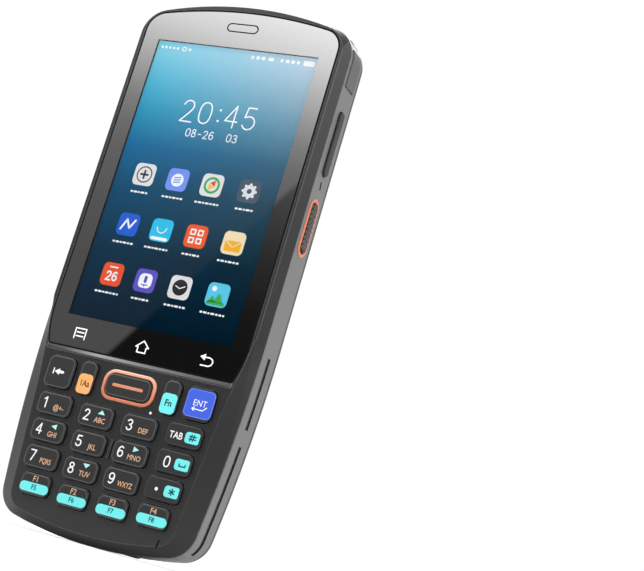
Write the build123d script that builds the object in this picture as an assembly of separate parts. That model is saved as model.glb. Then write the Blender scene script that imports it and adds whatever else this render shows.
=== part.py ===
from build123d import *
import os
from math import hypot, sqrt

# Portable barcode data terminal, in millimetres.
# Frame: +X is the terminal's right side seen from the screen, the screen faces -Y, +Z points at
# the earpiece end.  Depths are measured from the glass plane backwards; write() centres them.

os.makedirs("parts", exist_ok=True)

# ---------------------------------------------------------------- overall size
length = 158.5
width = 68.2
shell_depth = 15.4          # glass plane to the rear shells beside the raised panel
panel_depth = shell_depth + 1.2     # raised rear panel
hood_depth = 30.7           # glass plane to the rear edge of the scanner hood

# outline seen from the front
end_bow = 3.9               # how far the bottom end bulges beyond its corners
top_bow = 5.1
bottom_corner = 8.0
top_corner = 9.0
taper_top = 64.0            # the sides are straight above this height
taper_radius = 440.0

# layers, by depth
rim_depth = 3.2             # front shell
rear_round = 3.0
band_depth = shell_depth - rear_round - 0.4     # side band of the frame ends here
band_wall = 2.2
shell_wall = 1.6
plate_front = 7.2           # chassis plate across the frame
plate_thick = 1.0
plate_rear = plate_front + plate_thick

# clearances
seat_gap = 0.1              # between fixed parts that drop into each other
slide_gap = 0.15            # round a part that moves
seam_gap = 0.2
beyond = 10.0               # cutting shapes reach this far past the surface

# ---------------------------------------------------------------- screen
face_half = 32.5            # flat front rim, beside the glass
glass_half = 31.3
glass_thick = 1.1
glass_bottom = 50.2
glass_low_half = 29.2
glass_bend = 60.5
glass_top = length - 2.5
glass_bow = 3.6
glass_corner = 6.0
glass_low_corner = 1.2
module_half = 28.2
module_bottom = 56.5
module_top = length - 10.0
module_rear = 4.0
ear_z = length - 7.6
ear_length = 9.4
ear_height = 2.0
ear_thick = 0.8

# ---------------------------------------------------------------- keypad
panel_low = (width / 2 - 8.7, 5.4)      # corners of the flat front, beside the keypad
panel_knee = (width / 2 - 5.5, 40.0)
panel_bend = (width / 2 - 3.5, 53.5)
panel_low_end = 2.3
panel_top_gap = 1.0
panel_thick = 1.0
key_proud = 1.0
key_edge = 0.45
key_travel = 0.4
flange_lip = 0.4
flange_thick = 0.4
flange_front = panel_thick + 0.05
flange_rear = flange_front + flange_thick
mat_front = flange_rear + key_travel + 0.1
board_thick = 1.0
row_count = 4
row_pitch = 7.4
row_top = 33.2
row_curve = 0.6             # the outer keys of a row sit this much higher
row_outer = 20.5            # outer keys of the first row, from the middle
row_step = 0.65             # each lower row is this much narrower
number_key = (10.8, 6.2, 1.6)
function_key = (9.4, 6.0, 1.4)
corner_key = (8.8, 9.1, 2.0)
narrow_key = (5.2, 9.6, 1.8)
corner_key_x = 22.1
narrow_key_x = 13.3
top_row_z = 42.8
scan_key = (14.2, 6.3, 2.2)
scan_ring_wall = 1.0
scan_ring_proud = 0.6
bay_margin = 0.8            # keypad bay beyond the outermost key
ridge_height = 1.2          # light ridge between keypad and glass
ridge_proud = 0.25

# ---------------------------------------------------------------- sides
side_depth = (rim_depth + band_depth) / 2       # middle of the side controls
side_proud = 0.7
scan_button_z = length - 60.8
scan_button_length = 14.6
scan_button_width = 3.4
side_ring_wall = 1.0
side_ring_proud = 0.3
side_travel = 0.5
side_flange = 0.6
rocker_flange_gap = 0.5
side_flange_room = rocker_flange_gap + side_flange + side_travel + 0.4
long_key_z = length - 35.8
long_key_length = 19.4
long_key_width = 3.0
flap_bottom = length - 19.3
flap_top = length - 8.3
flap_width = 5.8
flap_thick = 1.5
flap_proud = 0.3
groove_width = 1.7
groove_depth = 0.6
groove_spans = ((5.0, 35.3), (40.0, 60.0))

# ---------------------------------------------------------------- rear shells and cover
seam_low = length - 49.0
seam_high = seam_low + 3.5
seam_side = seam_low + 1.0
seam_step = (15.0, 20.0)
seam_knee = 27.0
panel_edge = ((23.4, length - 53.5), (27.3, length - 30.3), (24.9, length - 11.5),
              (22.5, length - 8.9), (16.5, length - 7.7))
panel_chamfer = 0.8
cover_half = 24.2
cover_bottom = 19.4
cover_round = 9.0
cover_flat_bottom = 23.7
cover_flat_round = 7.0
cover_band_depth = shell_depth - 0.2    # lower edge of the cover's sloping band
cover_seat = shell_depth - 1.4          # ledge that the cover lies on
cover_skin = 1.5
cover_groove = 1.4
cover_groove_bottom = 31.0
well_half = 22.2
well_bottom = 25.0
well_top = seam_low - 3.5
well_wall = 4.6
toe_top = 17.0              # the rear surface slopes forwards below this height
toe_depth = band_depth + 0.3
tab_x = 21.6
tab_width = 3.2
tab_reach = 1.6
tab_thick = 0.9
plate_length = 39.0
plate_width = 10.4
plate_z = 60.5
plate_groove = 1.0
plate_recess = 0.6
vent_z = seam_low - 8.6
vent_length = 11.6
vent_height = 0.8

# ---------------------------------------------------------------- scanner hood
hood_half = 17.4            # half width of its foot
hood_taper_z = 0.045        # the foot narrows this much per mm above hood_taper_from
hood_taper_from = length - 28.5
hood_taper_y = 0.195        # the flanks lean in this much per mm of depth
hood_low = length - 37.5
hood_lip = (hood_depth - 6.5, length - 30.0)    # lower rear edge: depth, height
hood_crest = length - 12.9  # height of the upper rear edge
hood_top = length - 0.3
hood_nose = shell_depth + 0.2           # depth where the sloping window face starts
hood_wall = 1.8
hood_chamfer = 1.0
window_margin = 2.4
window_thick = 1.2
label_size = (20.0, 10.8)
label_thick = 0.3
label_from_lip = 1.8

# charging contacts below the hood
recess_bottom = seam_low + 1.3
recess_round = 4.5
recess_depth = shell_depth - 0.9
recess_floor = 1.2
recess_wall = 0.8
contact_face = panel_depth + 0.4
contact_half = 15.4
contact_bottom = recess_bottom + 1.5
contact_top = contact_bottom + 7.3
contact_tab = 1.2
pad_diameter = 2.4
pad_pitch = 3.35
pad_counts = (4, 5)         # upper row, lower row
pad_heights = (contact_bottom + 5.5, contact_bottom + 2.6)
pad_proud = 0.15
pad_thick = 1.2
pocket_x = 11.6
pocket_size = 5.4
pocket_depth = 1.4

# ---------------------------------------------------------------- camera and speaker
camera_x = 26.2
camera_z = length - 28.4
camera_length = 23.4
camera_width = 10.5
camera_wall = 1.0
camera_rear = panel_depth + 0.8
camera_recess = 0.3
camera_glass_thick = 0.8
lens_z = camera_z + 5.0
lens_diameter = 5.6
lens_depth = 3.0
flash_z = camera_z - 4.3
flash_diameter = 3.8
hole_columns = 3
hole_rows = 10
hole_pitch_x = 2.1
hole_pitch_z = 1.76
hole_diameter = 0.95
hole_x = 18.9
hole_bottom = length - 40.2
speaker_margin = 0.5
speaker_thick = 2.4

# ---------------------------------------------------------------- latch and strap bar
column_half = 12.9          # opening in the lower rear shell
housing_bottom = 10.9
housing_top = 18.8
housing_round = 3.0
housing_front = band_depth + 0.6
housing_rear = shell_depth + 0.2
latch_z = 15.3
latch_slot_height = 3.6
latch_length = 14.8
latch_travel = 4.3
latch_proud = 0.5
latch_flange = 0.5
latch_track = 0.8           # depth of the track behind the panel
bolt_width = 3.0
bolt_reach = 1.6            # bolt end above the cover's lower edge
catch_gap = 0.3
catch_width = 2.4
catch_front = housing_front
strap_top = 7.6
strap_bottom = 0.3
strap_rear = shell_depth + 0.1
strap_front = band_depth - 3.2
strap_thick = 2.2
strap_slot = (16.0, 2.8)
strap_slot_z = 5.2

# ---------------------------------------------------------------- inside
board_front = 5.0
main_board_thick = 1.2
main_board_half = 27.0
main_board_span = (52.0, length - 12.5)
post_radius = 1.6
battery_half = 21.6
battery_span = (well_bottom + 1.0, well_top - 4.0)
battery_rear = panel_depth - cover_skin - 0.5
contact_strip = (16.0, 3.0)
contact_blades = 4
blade_width = 1.6
engine_rear = hood_lip[0] - 1.9
engine_width = 21.0
engine_height = 13.0
engine_z = length - 19.5
screw_head = 3.0
screw_head_thick = 1.2
screw_shank = 1.6
screw_length = 4.0
top_screw = (width / 2 - 5.0, length - 6.1)
well_screw = (16.5, 22.2)
port_depth = 4.7
port_size = (21.0, 2.2)
port_reach = 4.0
side_port_x = 14.6
side_port_length = 4.0

middle = (hood_depth - key_proud) / 2


# ---------------------------------------------------------------- helpers
def write(node, shape):
    export_step(Pos(0, -middle, 0) * shape, f"parts/{node}.step")


def plan(depth):
    """Plane parallel to the glass: local x is X, local y is Z."""
    return Plane(origin=(0, depth, 0), x_dir=(1, 0, 0), z_dir=(0, -1, 0))


def slab(face, front, rear):
    """Solid with this face between two depths."""
    return extrude(plan(rear) * face, amount=rear - front, dir=(0, -1, 0))


def block(x, y, z):
    """Box from three (low, high) pairs."""
    size = (x[1] - x[0], y[1] - y[0], z[1] - z[0])
    return Pos((x[0] + x[1]) / 2, (y[0] + y[1]) / 2, (z[0] + z[1]) / 2) * Box(*size)


def side_slab(face, x_in, x_out):
    """Solid on the right side: local x of the face is depth, local y is height."""
    plane = Plane(origin=(x_in, 0, 0), x_dir=(0, 1, 0), z_dir=(1, 0, 0))
    return extrude(plane * face, amount=x_out - x_in, dir=(1, 0, 0))


def cross_slab(points, half):
    """Solid with this (depth, height) profile, from -half to +half across."""
    profile = Polygon(*points, align=None) if isinstance(points, list) else points
    return side_slab(profile, -half, half)


def other_side(shape):
    return shape.mirror(Plane.YZ)


def pair(shape):
    return shape + other_side(shape)


def symmetric(points, radius=0.0, corners=None):
    """Face from the right-hand points, bottom to top; the chosen corners are rounded."""
    whole = list(points) + [(-x, z) for x, z in reversed(points)]
    face = Face(Wire(Polyline(*whole, close=True).edges()))
    if radius:
        rounded = points if corners is None else [points[i] for i in corners]
        places = [(abs(x), z) for x, z in rounded]
        picked = [v for v in face.vertices()
                  if any(hypot(abs(v.X) - x, v.Y - z) < 0.01 for x, z in places)]
        face = face.fillet_2d(radius, picked)
    return face


def side_x(z, inset=0.0):
    """Half width of the outline below taper_top."""
    return width / 2 - inset - (taper_radius - sqrt(taper_radius ** 2 - (taper_top - z) ** 2))


def lens_face(corners, bottom_mid, top_mid, side_mid, low_radius, high_radius):
    """Face with bowed ends.  corners: right-hand side points from bottom to top."""
    edges = [ThreePointArc((-corners[0][0], corners[0][1]), bottom_mid, corners[0]),
             ThreePointArc(corners[-1], top_mid, (-corners[-1][0], corners[-1][1]))]
    for start, through, end in zip(corners, side_mid, corners[1:]):
        for side in (1, -1):
            if through:
                edges.append(ThreePointArc((side * start[0], start[1]),
                                           (side * through[0], through[1]), (side * end[0], end[1])))
            else:
                edges.append(Line((side * start[0], start[1]), (side * end[0], end[1])))
    face = Face(Wire([e.edge() for e in edges]))
    for corner, radius in ((corners[0], low_radius), (corners[-1], high_radius)):
        picked = [v for v in face.vertices()
                  if hypot(abs(v.X) - corner[0], v.Y - corner[1]) < 0.01]
        face = face.fillet_2d(radius, picked)
    return face


def outline(inset=0.0):
    """Outline of the terminal, moved inwards."""
    low = end_bow + inset
    high = length - top_bow - inset
    middle_z = (low + taper_top) / 2
    corners = [(side_x(low, inset), low), (width / 2 - inset, taper_top), (width / 2 - inset, high)]
    through = [(side_x(middle_z, inset), middle_z), None]
    return lens_face(corners, (0, inset), (0, length - inset), through,
                     bottom_corner - inset, top_corner - inset)


# keys: name, x, z, (width, height, corner radius)
key_names = (("1", "2", "3", "tab"), ("4", "5", "6", "0"), ("7", "8", "9", "dot"),
             ("f1", "f2", "f3", "f4"))
keys = [("backspace", -corner_key_x, top_row_z, corner_key),
        ("case", -narrow_key_x, top_row_z, narrow_key),
        ("scan", 0.0, top_row_z, scan_key),
        ("fn", narrow_key_x, top_row_z, narrow_key),
        ("enter", corner_key_x, top_row_z, corner_key)]
for row in range(row_count):
    outer = row_outer - row_step * row
    for column, name in enumerate(key_names[row]):
        share = (2 * column - 3) / 3
        lift = row_curve if abs(share) == 1 else 0.0
        size = function_key if row == row_count - 1 else number_key
        keys.append((name, outer * share, row_top - row_pitch * row + lift, size))


def key_face(key, grow=0.0):
    name, x, z, (wide, high, corner) = key
    return Pos(x, z) * RectangleRounded(wide + 2 * grow, high + 2 * grow, corner + grow)


def bay_face(inset=0.0):
    """Keypad bay behind the panel, wide enough for every key flange."""
    last = row_count - 1
    foot = row_outer - row_step * last + function_key[0] / 2 + flange_lip + bay_margin
    wide = corner_key_x + corner_key[0] / 2 + flange_lip + bay_margin / 2
    knee = row_top - row_pitch
    low = row_top - row_pitch * last - function_key[1] / 2 - flange_lip - bay_margin
    high = top_row_z + narrow_key[1] / 2 + flange_lip + slide_gap
    points = [(foot - inset, low + inset), (wide - inset, knee), (wide - inset, high - inset)]
    return symmetric(points, 2.0 - inset, corners=(0, 2))


def glass_face(grow=0.0):
    """Outline of the touch glass."""
    bend = (glass_low_half + (glass_half - glass_low_half) * 0.72 + grow,
            glass_bottom + (glass_bend - glass_bottom) * 0.5)
    corners = [(glass_low_half + grow, glass_bottom - grow), (glass_half + grow, glass_bend),
               (glass_half + grow, glass_top - glass_bow + grow)]
    bottom = (0, glass_bottom - grow - 0.001)
    return lens_face(corners, bottom, (0, glass_top + grow), [bend, None],
                     glass_low_corner + grow, glass_corner + grow)


def above_seam(lift=0.0):
    """Everything above the stepped joint between the rear shells."""
    points = [(seam_step[0], seam_low + lift), (seam_step[1], seam_high + lift),
              (seam_knee, seam_high + lift), (width / 2, seam_side + lift),
              (width, seam_side + lift), (width, length + beyond)]
    return slab(symmetric(points), -beyond, hood_depth + beyond)


def slot_face(x, z, long, wide, upright=False):
    return Pos(x, z) * SlotOverall(long, wide, rotation=90 if upright else 0)


def cylinder(x, z, diameter, front, rear):
    return slab(Pos(x, z) * Circle(diameter / 2), front, rear)


# ---------------------------------------------------------------- front shell
def flat_front_face():
    """Flat part of the front: the rim beside the glass and the keypad panel."""
    high = length - panel_top_gap
    corners = [panel_low, panel_knee, (face_half, taper_top), (face_half, high - top_bow)]
    return lens_face(corners, (0, panel_low_end), (0, high), [None, panel_bend, None],
                     bottom_corner - 3.0, top_corner - 1.0)


def shell_foot_face():
    """The outline, split like the flat front so that the two can be joined."""
    knee = panel_knee[1]
    low = end_bow
    high = length - top_bow
    middle_low = (low + knee) / 2
    middle_high = (knee + taper_top) / 2
    corners = [(side_x(low), low), (side_x(knee), knee), (width / 2, taper_top), (width / 2, high)]
    through = [(side_x(middle_low), middle_low), (side_x(middle_high), middle_high), None]
    return lens_face(corners, (0, 0), (0, length), through, bottom_corner, top_corner)


def front_shell():
    body = loft([plan(rim_depth) * shell_foot_face(), plan(0) * flat_front_face()], ruled=True)
    ridge_z = glass_bottom - slide_gap - ridge_height / 2
    body += slab(Pos(0, ridge_z) * Rectangle(2 * glass_low_half, ridge_height), -ridge_proud, 0.5)
    body -= slab(glass_face(slide_gap), -1, glass_thick)
    window = symmetric([(module_half + seat_gap, module_bottom - seat_gap),
                        (module_half + seat_gap, module_top + seat_gap)])
    body -= slab(window, 0, rim_depth + 1)
    body -= slab(bay_face(), panel_thick, rim_depth + 1)
    for key in keys:
        grow = scan_ring_wall + slide_gap if key[0] == "scan" else slide_gap
        body -= slab(key_face(key, grow), -1, panel_thick + 1)
    return body


def key_cap(key):
    cap = slab(key_face(key), -key_proud, flange_front)
    cap = fillet(cap.faces().sort_by(Axis.Y)[0].edges(), key_edge)
    return cap + slab(key_face(key, flange_lip), flange_front, flange_rear)


def scan_key_ring():
    key = next(k for k in keys if k[0] == "scan")
    ring = key_face(key, scan_ring_wall + slide_gap) - key_face(key, slide_gap)
    ring = slab(ring, -scan_ring_proud, panel_thick)
    front = ring.faces().sort_by(Axis.Y)[0]
    return fillet(front.edges(), 0.3)


def touch_glass():
    return slab(glass_face(), 0, glass_thick) - ear_slot(0, glass_thick)


def ear_slot(front, rear):
    return slab(slot_face(0, ear_z, ear_length, ear_height), front - 1, rear + 1)


def earpiece_mesh():
    return slab(slot_face(0, ear_z, ear_length, ear_height), glass_thick - ear_thick, glass_thick)


# ---------------------------------------------------------------- frame with the side band
def post_places():
    low, high = main_board_span
    inner = main_board_half - 2 * post_radius
    return [(inner, low + 2 * post_radius), (inner, high - 2 * post_radius)]


def keypad_posts():
    low = row_top - row_pitch * (row_count - 1)
    return [(row_outer, low), (corner_key_x, top_row_z)]


def side_face(z, long, wide, grow=0.0):
    return Pos(side_depth, z) * SlotOverall(long + 2 * grow, wide + 2 * grow, rotation=90)


def side_window(z, long, wide, grow):
    """Cut through the side band for a control, and room behind it for its flange."""
    inner = width / 2 - band_wall
    window = side_slab(side_face(z, long, wide, grow), inner - 1, width / 2 + 5)
    room = side_face(z, long, wide, side_flange + 2 * slide_gap)
    return window + side_slab(room, inner - side_flange_room, inner)


def flap_zone(grow=0.0):
    """Side band zone that a port flap fills."""
    high = (flap_bottom - grow, flap_top + grow)
    depth = (side_depth - flap_width / 2 - grow, side_depth + flap_width / 2 + grow)
    return block((width / 4, width), depth, high)


def port_opening(rear_reach):
    """Openings in the bottom end for the dock connector and two side slots."""
    cut = block((-port_size[0] / 2, port_size[0] / 2),
                (port_depth - port_size[1] / 2, port_depth + port_size[1] / 2), (-1, rear_reach))
    for side in (1, -1):
        x = side * side_port_x
        cut += block((x - side_port_length / 2, x + side_port_length / 2),
                     (port_depth - port_size[1] / 4, port_depth + port_size[1] / 4), (-1, rear_reach))
    return cut


def mid_frame():
    inner = outline(band_wall)
    frame = slab(outline(), rim_depth, band_depth) - slab(inner, rim_depth - 1, band_depth + 1)
    frame += slab(inner, plate_front, plate_rear)
    for x, z in post_places():
        frame += pair(cylinder(x, z, 2 * post_radius, board_front + main_board_thick, plate_front))
    for x, z in keypad_posts():
        frame += pair(cylinder(x, z, 2 * post_radius, rim_depth + board_thick, plate_front))
    for x, z in (top_screw, well_screw):
        frame += pair(cylinder(x, z, 3 * screw_shank, plate_rear, band_depth))
        frame -= pair(cylinder(x, z, screw_shank, band_depth - screw_length, band_depth + 1))
    scan_cut = side_window(scan_button_z, scan_button_length, scan_button_width,
                           side_ring_wall + slide_gap)
    key_cut = side_window(long_key_z, long_key_length, long_key_width, slide_gap)
    flap_cut = (slab(outline(-1) - outline(flap_thick - flap_proud + slide_gap), 0, band_depth)
                & flap_zone(slide_gap))
    groove = outline(-1) - outline(groove_depth)
    groove_front = side_depth - groove_width / 2
    for low, high in groove_spans:
        zone = block((width / 4, width), (groove_front, groove_front + groove_width), (low, high))
        key_cut += slab(groove, groove_front, groove_front + groove_width) & zone
    frame -= pair(scan_cut + key_cut + flap_cut)
    frame -= port_opening(band_wall + 1)
    outer = column_half + shell_wall
    frame += block((-outer, outer), (plate_rear, band_depth), (band_wall, housing_bottom + shell_wall))
    frame -= block((-column_half, column_half), (strap_front, band_depth + 1),
                   (-1, housing_bottom))
    return frame


def side_scan_ring():
    sizes = (scan_button_z, scan_button_length, scan_button_width)
    ring = side_face(*sizes, side_ring_wall + slide_gap) - side_face(*sizes, slide_gap)
    ring = side_slab(ring, width / 2 - band_wall, width / 2 + side_ring_proud)
    return fillet(ring.faces().sort_by(Axis.X)[-1].edges(), 0.3)


def side_button(z, long, wide, ribs=0, flange_gap=slide_gap):
    """Button with a flange behind the band wall, for the right side."""
    flange_x = width / 2 - band_wall - flange_gap
    proud = side_proud
    button = side_slab(side_face(z, long, wide), flange_x, width / 2 + proud)
    button = fillet(button.faces().sort_by(Axis.X)[-1].edges(), 0.4)
    button += side_slab(side_face(z, long, wide, side_flange), flange_x - side_flange, flange_x)
    rib_pitch = long / (ribs + 1) if ribs else 0
    for number in range(ribs):
        middle_z = z - long / 2 + rib_pitch * (number + 1)
        button -= block((width / 2 + proud - 0.25, width), (side_depth - wide, side_depth + wide),
                        (middle_z - rib_pitch / 5, middle_z + rib_pitch / 5))
    return button


def port_flap():
    ring = outline(-flap_proud) - outline(flap_thick - flap_proud)
    return slab(ring, 0, band_depth) & flap_zone()


# ---------------------------------------------------------------- rear shells
def rear_blank():
    """Both rear shells in one, solid, with the rounded rear edge."""
    blank = slab(outline(), band_depth, shell_depth)
    rear = blank.faces().sort_by(Axis.Y)[-1]
    return fillet(rear.edges(), rear_round)


def panel_face(inset=0.0):
    return symmetric([(x - inset, z - (inset if x < panel_edge[2][0] else 0))
                      for x, z in panel_edge])


def hood_foot_face(inset=0.0):
    """Foot of the scanner hood; it narrows towards the top and reaches the end."""
    half = hood_half - inset
    top = half - hood_taper_z * (length - hood_taper_from)
    return symmetric([(half, hood_low + inset), (half, hood_taper_from), (top, length + 1)])


def upper_rear_shell():
    hollow_rear = shell_depth - shell_wall
    panel = slab(panel_face(), shell_depth - 0.5, panel_depth)
    panel = chamfer(panel.faces().sort_by(Axis.Y)[-1].edges(), panel_chamfer)
    shell = rear_blank() + panel
    hollow = slab(outline(shell_wall), band_depth - 1, hollow_rear)
    hollow += slab(panel_face(shell_wall), band_depth - 1, panel_depth - shell_wall)
    for x, z in (top_screw,):
        hollow -= pair(cylinder(x, z, screw_head + 2 * shell_wall, band_depth - 1, shell_depth))
    recess = [(hood_half, recess_bottom), (hood_half, hood_low + 1)]
    floor_face = symmetric(recess, recess_round, corners=(0,))
    floor_front = recess_depth - recess_floor
    wall_face = symmetric([(hood_half + recess_wall, recess_bottom - recess_wall),
                           (hood_half + recess_wall, hood_low + 1)], recess_round, corners=(0,))
    hollow -= slab(wall_face, floor_front, panel_depth)
    shell -= hollow
    shell -= slab(floor_face, recess_depth, panel_depth + 1)
    shell -= slab(hood_foot_face(-seat_gap), band_depth - 1, panel_depth + 1)
    shell &= above_seam()
    shell -= slab(camera_face(-seat_gap), band_depth + 1, panel_depth + 1)
    for column in range(hole_columns):
        for row in range(hole_rows):
            x = -hole_x - hole_pitch_x * column
            z = hole_bottom + hole_pitch_z * row
            shell -= cylinder(x, z, hole_diameter, band_depth, panel_depth + 1)
    x, z = top_screw
    head_rear = shell_depth - screw_head_thick / 2
    shell -= pair(cylinder(x, z, screw_head, head_rear - screw_head_thick, panel_depth))
    shell -= pair(cylinder(x, z, screw_shank, band_depth - 1, panel_depth))
    return shell


def cover_outline(grow=0.0):
    """Edge of the battery cover at its seat."""
    points = [(cover_half + grow, cover_bottom - grow), (cover_half + grow, seam_high)]
    return symmetric(points, cover_round + grow, corners=(0,))


def toe_cut(inset):
    """What the sloping surface at the bottom end takes away."""
    rear = shell_depth - inset
    return cross_slab([(rear, toe_top), (hood_depth, toe_top), (hood_depth, -1),
                       (toe_depth - inset, -1)], width)


def lower_rear_shell():
    shell = rear_blank() - above_seam(-seam_gap) - toe_cut(0)
    hollow = slab(outline(shell_wall), band_depth - 1, shell_depth - shell_wall)
    frame_face = symmetric([(well_half + well_wall, cover_bottom - shell_wall),
                            (well_half + well_wall, length)])
    hollow -= slab(frame_face, band_depth - 1, shell_depth)
    hollow -= pair(block((column_half, column_half + shell_wall), (band_depth - 1, shell_depth),
                         (0, cover_bottom)))
    hollow -= toe_cut(shell_wall)
    shell -= hollow
    well = symmetric([(well_half, well_bottom), (well_half, well_top)], 2.0)
    shell -= slab(well, band_depth - 1, shell_depth)
    shell -= slab(cover_outline(seat_gap), cover_seat, shell_depth + 1)
    groove = symmetric([(cover_half + cover_groove, cover_groove_bottom),
                        (cover_half + cover_groove, length)])
    shell -= slab(groove, cover_seat, shell_depth + 1)
    tab_pocket = block((tab_x - tab_width / 2 - 0.5, tab_x + tab_width / 2 + 0.5),
                       (band_depth - 1, shell_depth), (well_top + 1, length))
    shell -= pair(tab_pocket)
    column = symmetric([(column_half, -1), (column_half, housing_top + seat_gap)], housing_round,
                       corners=(1,))
    shell -= slab(column, band_depth - 1, shell_depth + 1)
    shell -= bolt_room()
    x, z = well_screw
    shell -= pair(cylinder(x, z, screw_head, cover_seat - screw_head_thick, shell_depth))
    shell -= pair(cylinder(x, z, screw_shank, band_depth - 1, shell_depth))
    return shell


def battery_cover():
    low = cover_outline()
    flat = symmetric([(cover_half, cover_flat_bottom), (cover_half, seam_high)],
                     cover_flat_round, corners=(0,))
    cover = slab(low, cover_seat, cover_band_depth)
    cover += loft([plan(cover_band_depth) * low, plan(panel_depth) * flat], ruled=True)
    inner = symmetric([(well_half, well_bottom), (well_half, well_top)], 2.0)
    cover -= slab(inner, cover_seat - 1, panel_depth - cover_skin)
    cover -= above_seam(-seam_gap)
    tab_rear = panel_depth - shell_wall - 0.3
    tab_front = tab_rear - tab_thick
    tab_span = (tab_x - tab_width / 2, tab_x + tab_width / 2)
    tab = block(tab_span, (tab_front, panel_depth - cover_skin), (well_top + 3, seam_high - seam_gap))
    tab += block(tab_span, (tab_front, tab_rear),
                 (seam_high - seam_gap, seam_high - seam_gap + tab_reach))
    cover += pair(tab)
    plate = slot_face(0, plate_z, plate_length + 2 * plate_groove, plate_width + 2 * plate_groove,
                      upright=True)
    cover -= slab(plate, panel_depth - plate_recess, panel_depth + 1)
    cover -= slab(slot_face(0, vent_z, vent_length, vent_height), panel_depth - 0.7, panel_depth + 1)
    return cover


def cover_plate():
    face = slot_face(0, plate_z, plate_length, plate_width, upright=True)
    plate = slab(face, panel_depth - plate_recess, panel_depth + 0.15)
    return fillet(plate.faces().sort_by(Axis.Y)[-1].edges(), 0.25)


# ---------------------------------------------------------------- scanner hood
def hood_envelope(inset=0.0):
    """Foot and leaning flanks of the hood, before the end profile is cut."""
    half = hood_half - inset
    drop = hood_taper_z * (length - hood_taper_from)
    lean = hood_taper_y * (hood_depth - panel_depth)

    def level(narrower):
        points = [(half - narrower, hood_low - 5), (half - narrower, hood_taper_from),
                  (half - drop - narrower, length)]
        return symmetric(points)

    foot = slab(level(0), band_depth, panel_depth)
    flanks = loft([plan(panel_depth) * level(0), plan(hood_depth) * level(lean)], ruled=True)
    return foot + flanks


def hood_profile():
    """(depth, height) section of the hood."""
    cove_through = (recess_depth + 3.0, hood_lip[1] - 2.0)
    lip = hood_lip
    edges = [Line((band_depth, hood_low), (recess_depth, hood_low)),
             ThreePointArc((recess_depth, hood_low), cove_through, lip),
             Line(lip, (hood_depth, hood_crest)),
             Line((hood_depth, hood_crest), (hood_nose, hood_top)),
             Line((hood_nose, hood_top), (band_depth, hood_top)),
             Line((band_depth, hood_top), (band_depth, hood_low))]
    return Face(Wire([e.edge() for e in edges]))


def window_plane(lift=0.0):
    """Plane on the sloping window face: local x is X, local y runs up the slope."""
    run = hood_depth - hood_nose
    rise = hood_top - hood_crest
    slope = hypot(run, rise)
    normal = (0, rise / slope, run / slope)
    mid = ((hood_depth + hood_nose) / 2, (hood_top + hood_crest) / 2)
    origin = (0, mid[0] + lift * normal[1], mid[1] + lift * normal[2])
    return Plane(origin=origin, x_dir=(1, 0, 0), z_dir=normal)


def window_face(grow=0.0):
    slope = hypot(hood_depth - hood_nose, hood_top - hood_crest)
    half = hood_half - hood_taper_y * (hood_depth - panel_depth) - window_margin
    size = (2 * (half + grow), slope - 2 * window_margin + 2 * grow)
    return RectangleRounded(*size, 1.2 + grow)


def rear_face_plane():
    """Plane on the hood's rear face, origin at its lower edge."""
    rise = hood_crest - hood_lip[1]
    run = hood_depth - hood_lip[0]
    slope = hypot(rise, run)
    normal = (0, rise / slope, -run / slope)
    return Plane(origin=(0, hood_lip[0], hood_lip[1]), x_dir=(-1, 0, 0), z_dir=normal)


def scanner_hood():
    hood = cross_slab(hood_profile(), hood_half) & hood_envelope()
    hood &= slab(outline(), band_depth, hood_depth)
    crest = [e for e in hood.edges()
             if e.center().Y > hood_lip[0] + 1 and abs(e.center().X) > hood_half / 2]
    hood = chamfer(crest, hood_chamfer)
    inner = cross_slab(offset(hood_profile(), -hood_wall, kind=Kind.INTERSECTION), hood_half)
    hood -= inner & hood_envelope(hood_wall)
    hood -= extrude(window_plane() * window_face(seat_gap), amount=-window_thick)
    hood -= extrude(window_plane() * window_face(-1.0), amount=-2 * hood_wall)
    return hood


def scanner_window():
    return extrude(window_plane() * window_face(), amount=-window_thick)


def hood_label():
    face = Pos(0, label_from_lip + label_size[1] / 2) * RectangleRounded(*label_size, 1.5)
    return extrude(rear_face_plane() * face, amount=label_thick)


def scan_engine():
    low = engine_z - engine_height / 2
    return block((-engine_width / 2, engine_width / 2), (band_depth + hood_wall, engine_rear),
                 (low, low + engine_height))


# ---------------------------------------------------------------- charging contacts
def pad_places():
    places = []
    for count, z in zip(pad_counts, pad_heights):
        for number in range(count):
            places.append((pad_pitch * (number - (count - 1) / 2), z))
    return places


def contact_block():
    ramp = contact_half / 2
    points = [(contact_half, contact_bottom), (contact_half, contact_top), (ramp, contact_top),
              (ramp - contact_tab, contact_top + contact_tab)]
    body = slab(symmetric(points, 3.0, corners=(0,)), recess_depth, contact_face)
    body = chamfer(body.faces().sort_by(Axis.Y)[-1].outer_wire().edges(), 0.4)
    for side in (1, -1):
        pocket = Pos(side * pocket_x, (contact_bottom + contact_top) / 2)
        pocket_face = pocket * RectangleRounded(pocket_size, pocket_size, 0.6)
        body -= slab(pocket_face, contact_face - pocket_depth, contact_face + 1)
    for x, z in pad_places():
        body -= cylinder(x, z, pad_diameter, contact_face - pad_thick, contact_face + 1)
    return body


def contact_pins():
    return [cylinder(x, z, pad_diameter, contact_face - pad_thick, contact_face + pad_proud)
            for x, z in pad_places()]


# ---------------------------------------------------------------- camera and speaker
def camera_face(inset=0.0):
    return slot_face(camera_x, camera_z, camera_length - 2 * inset, camera_width - 2 * inset,
                     upright=True)


def camera_bezel():
    glass_front = camera_rear - camera_recess - camera_glass_thick
    ring = slab(camera_face(), band_depth + 1, camera_rear)
    ring = fillet(ring.faces().sort_by(Axis.Y)[-1].edges(), 0.4)
    ring -= slab(camera_face(camera_wall), glass_front, camera_rear + 1)
    for z, diameter in ((lens_z, lens_diameter), (flash_z, flash_diameter)):
        ring -= cylinder(camera_x, z, diameter, band_depth, camera_rear)
    return ring


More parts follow.
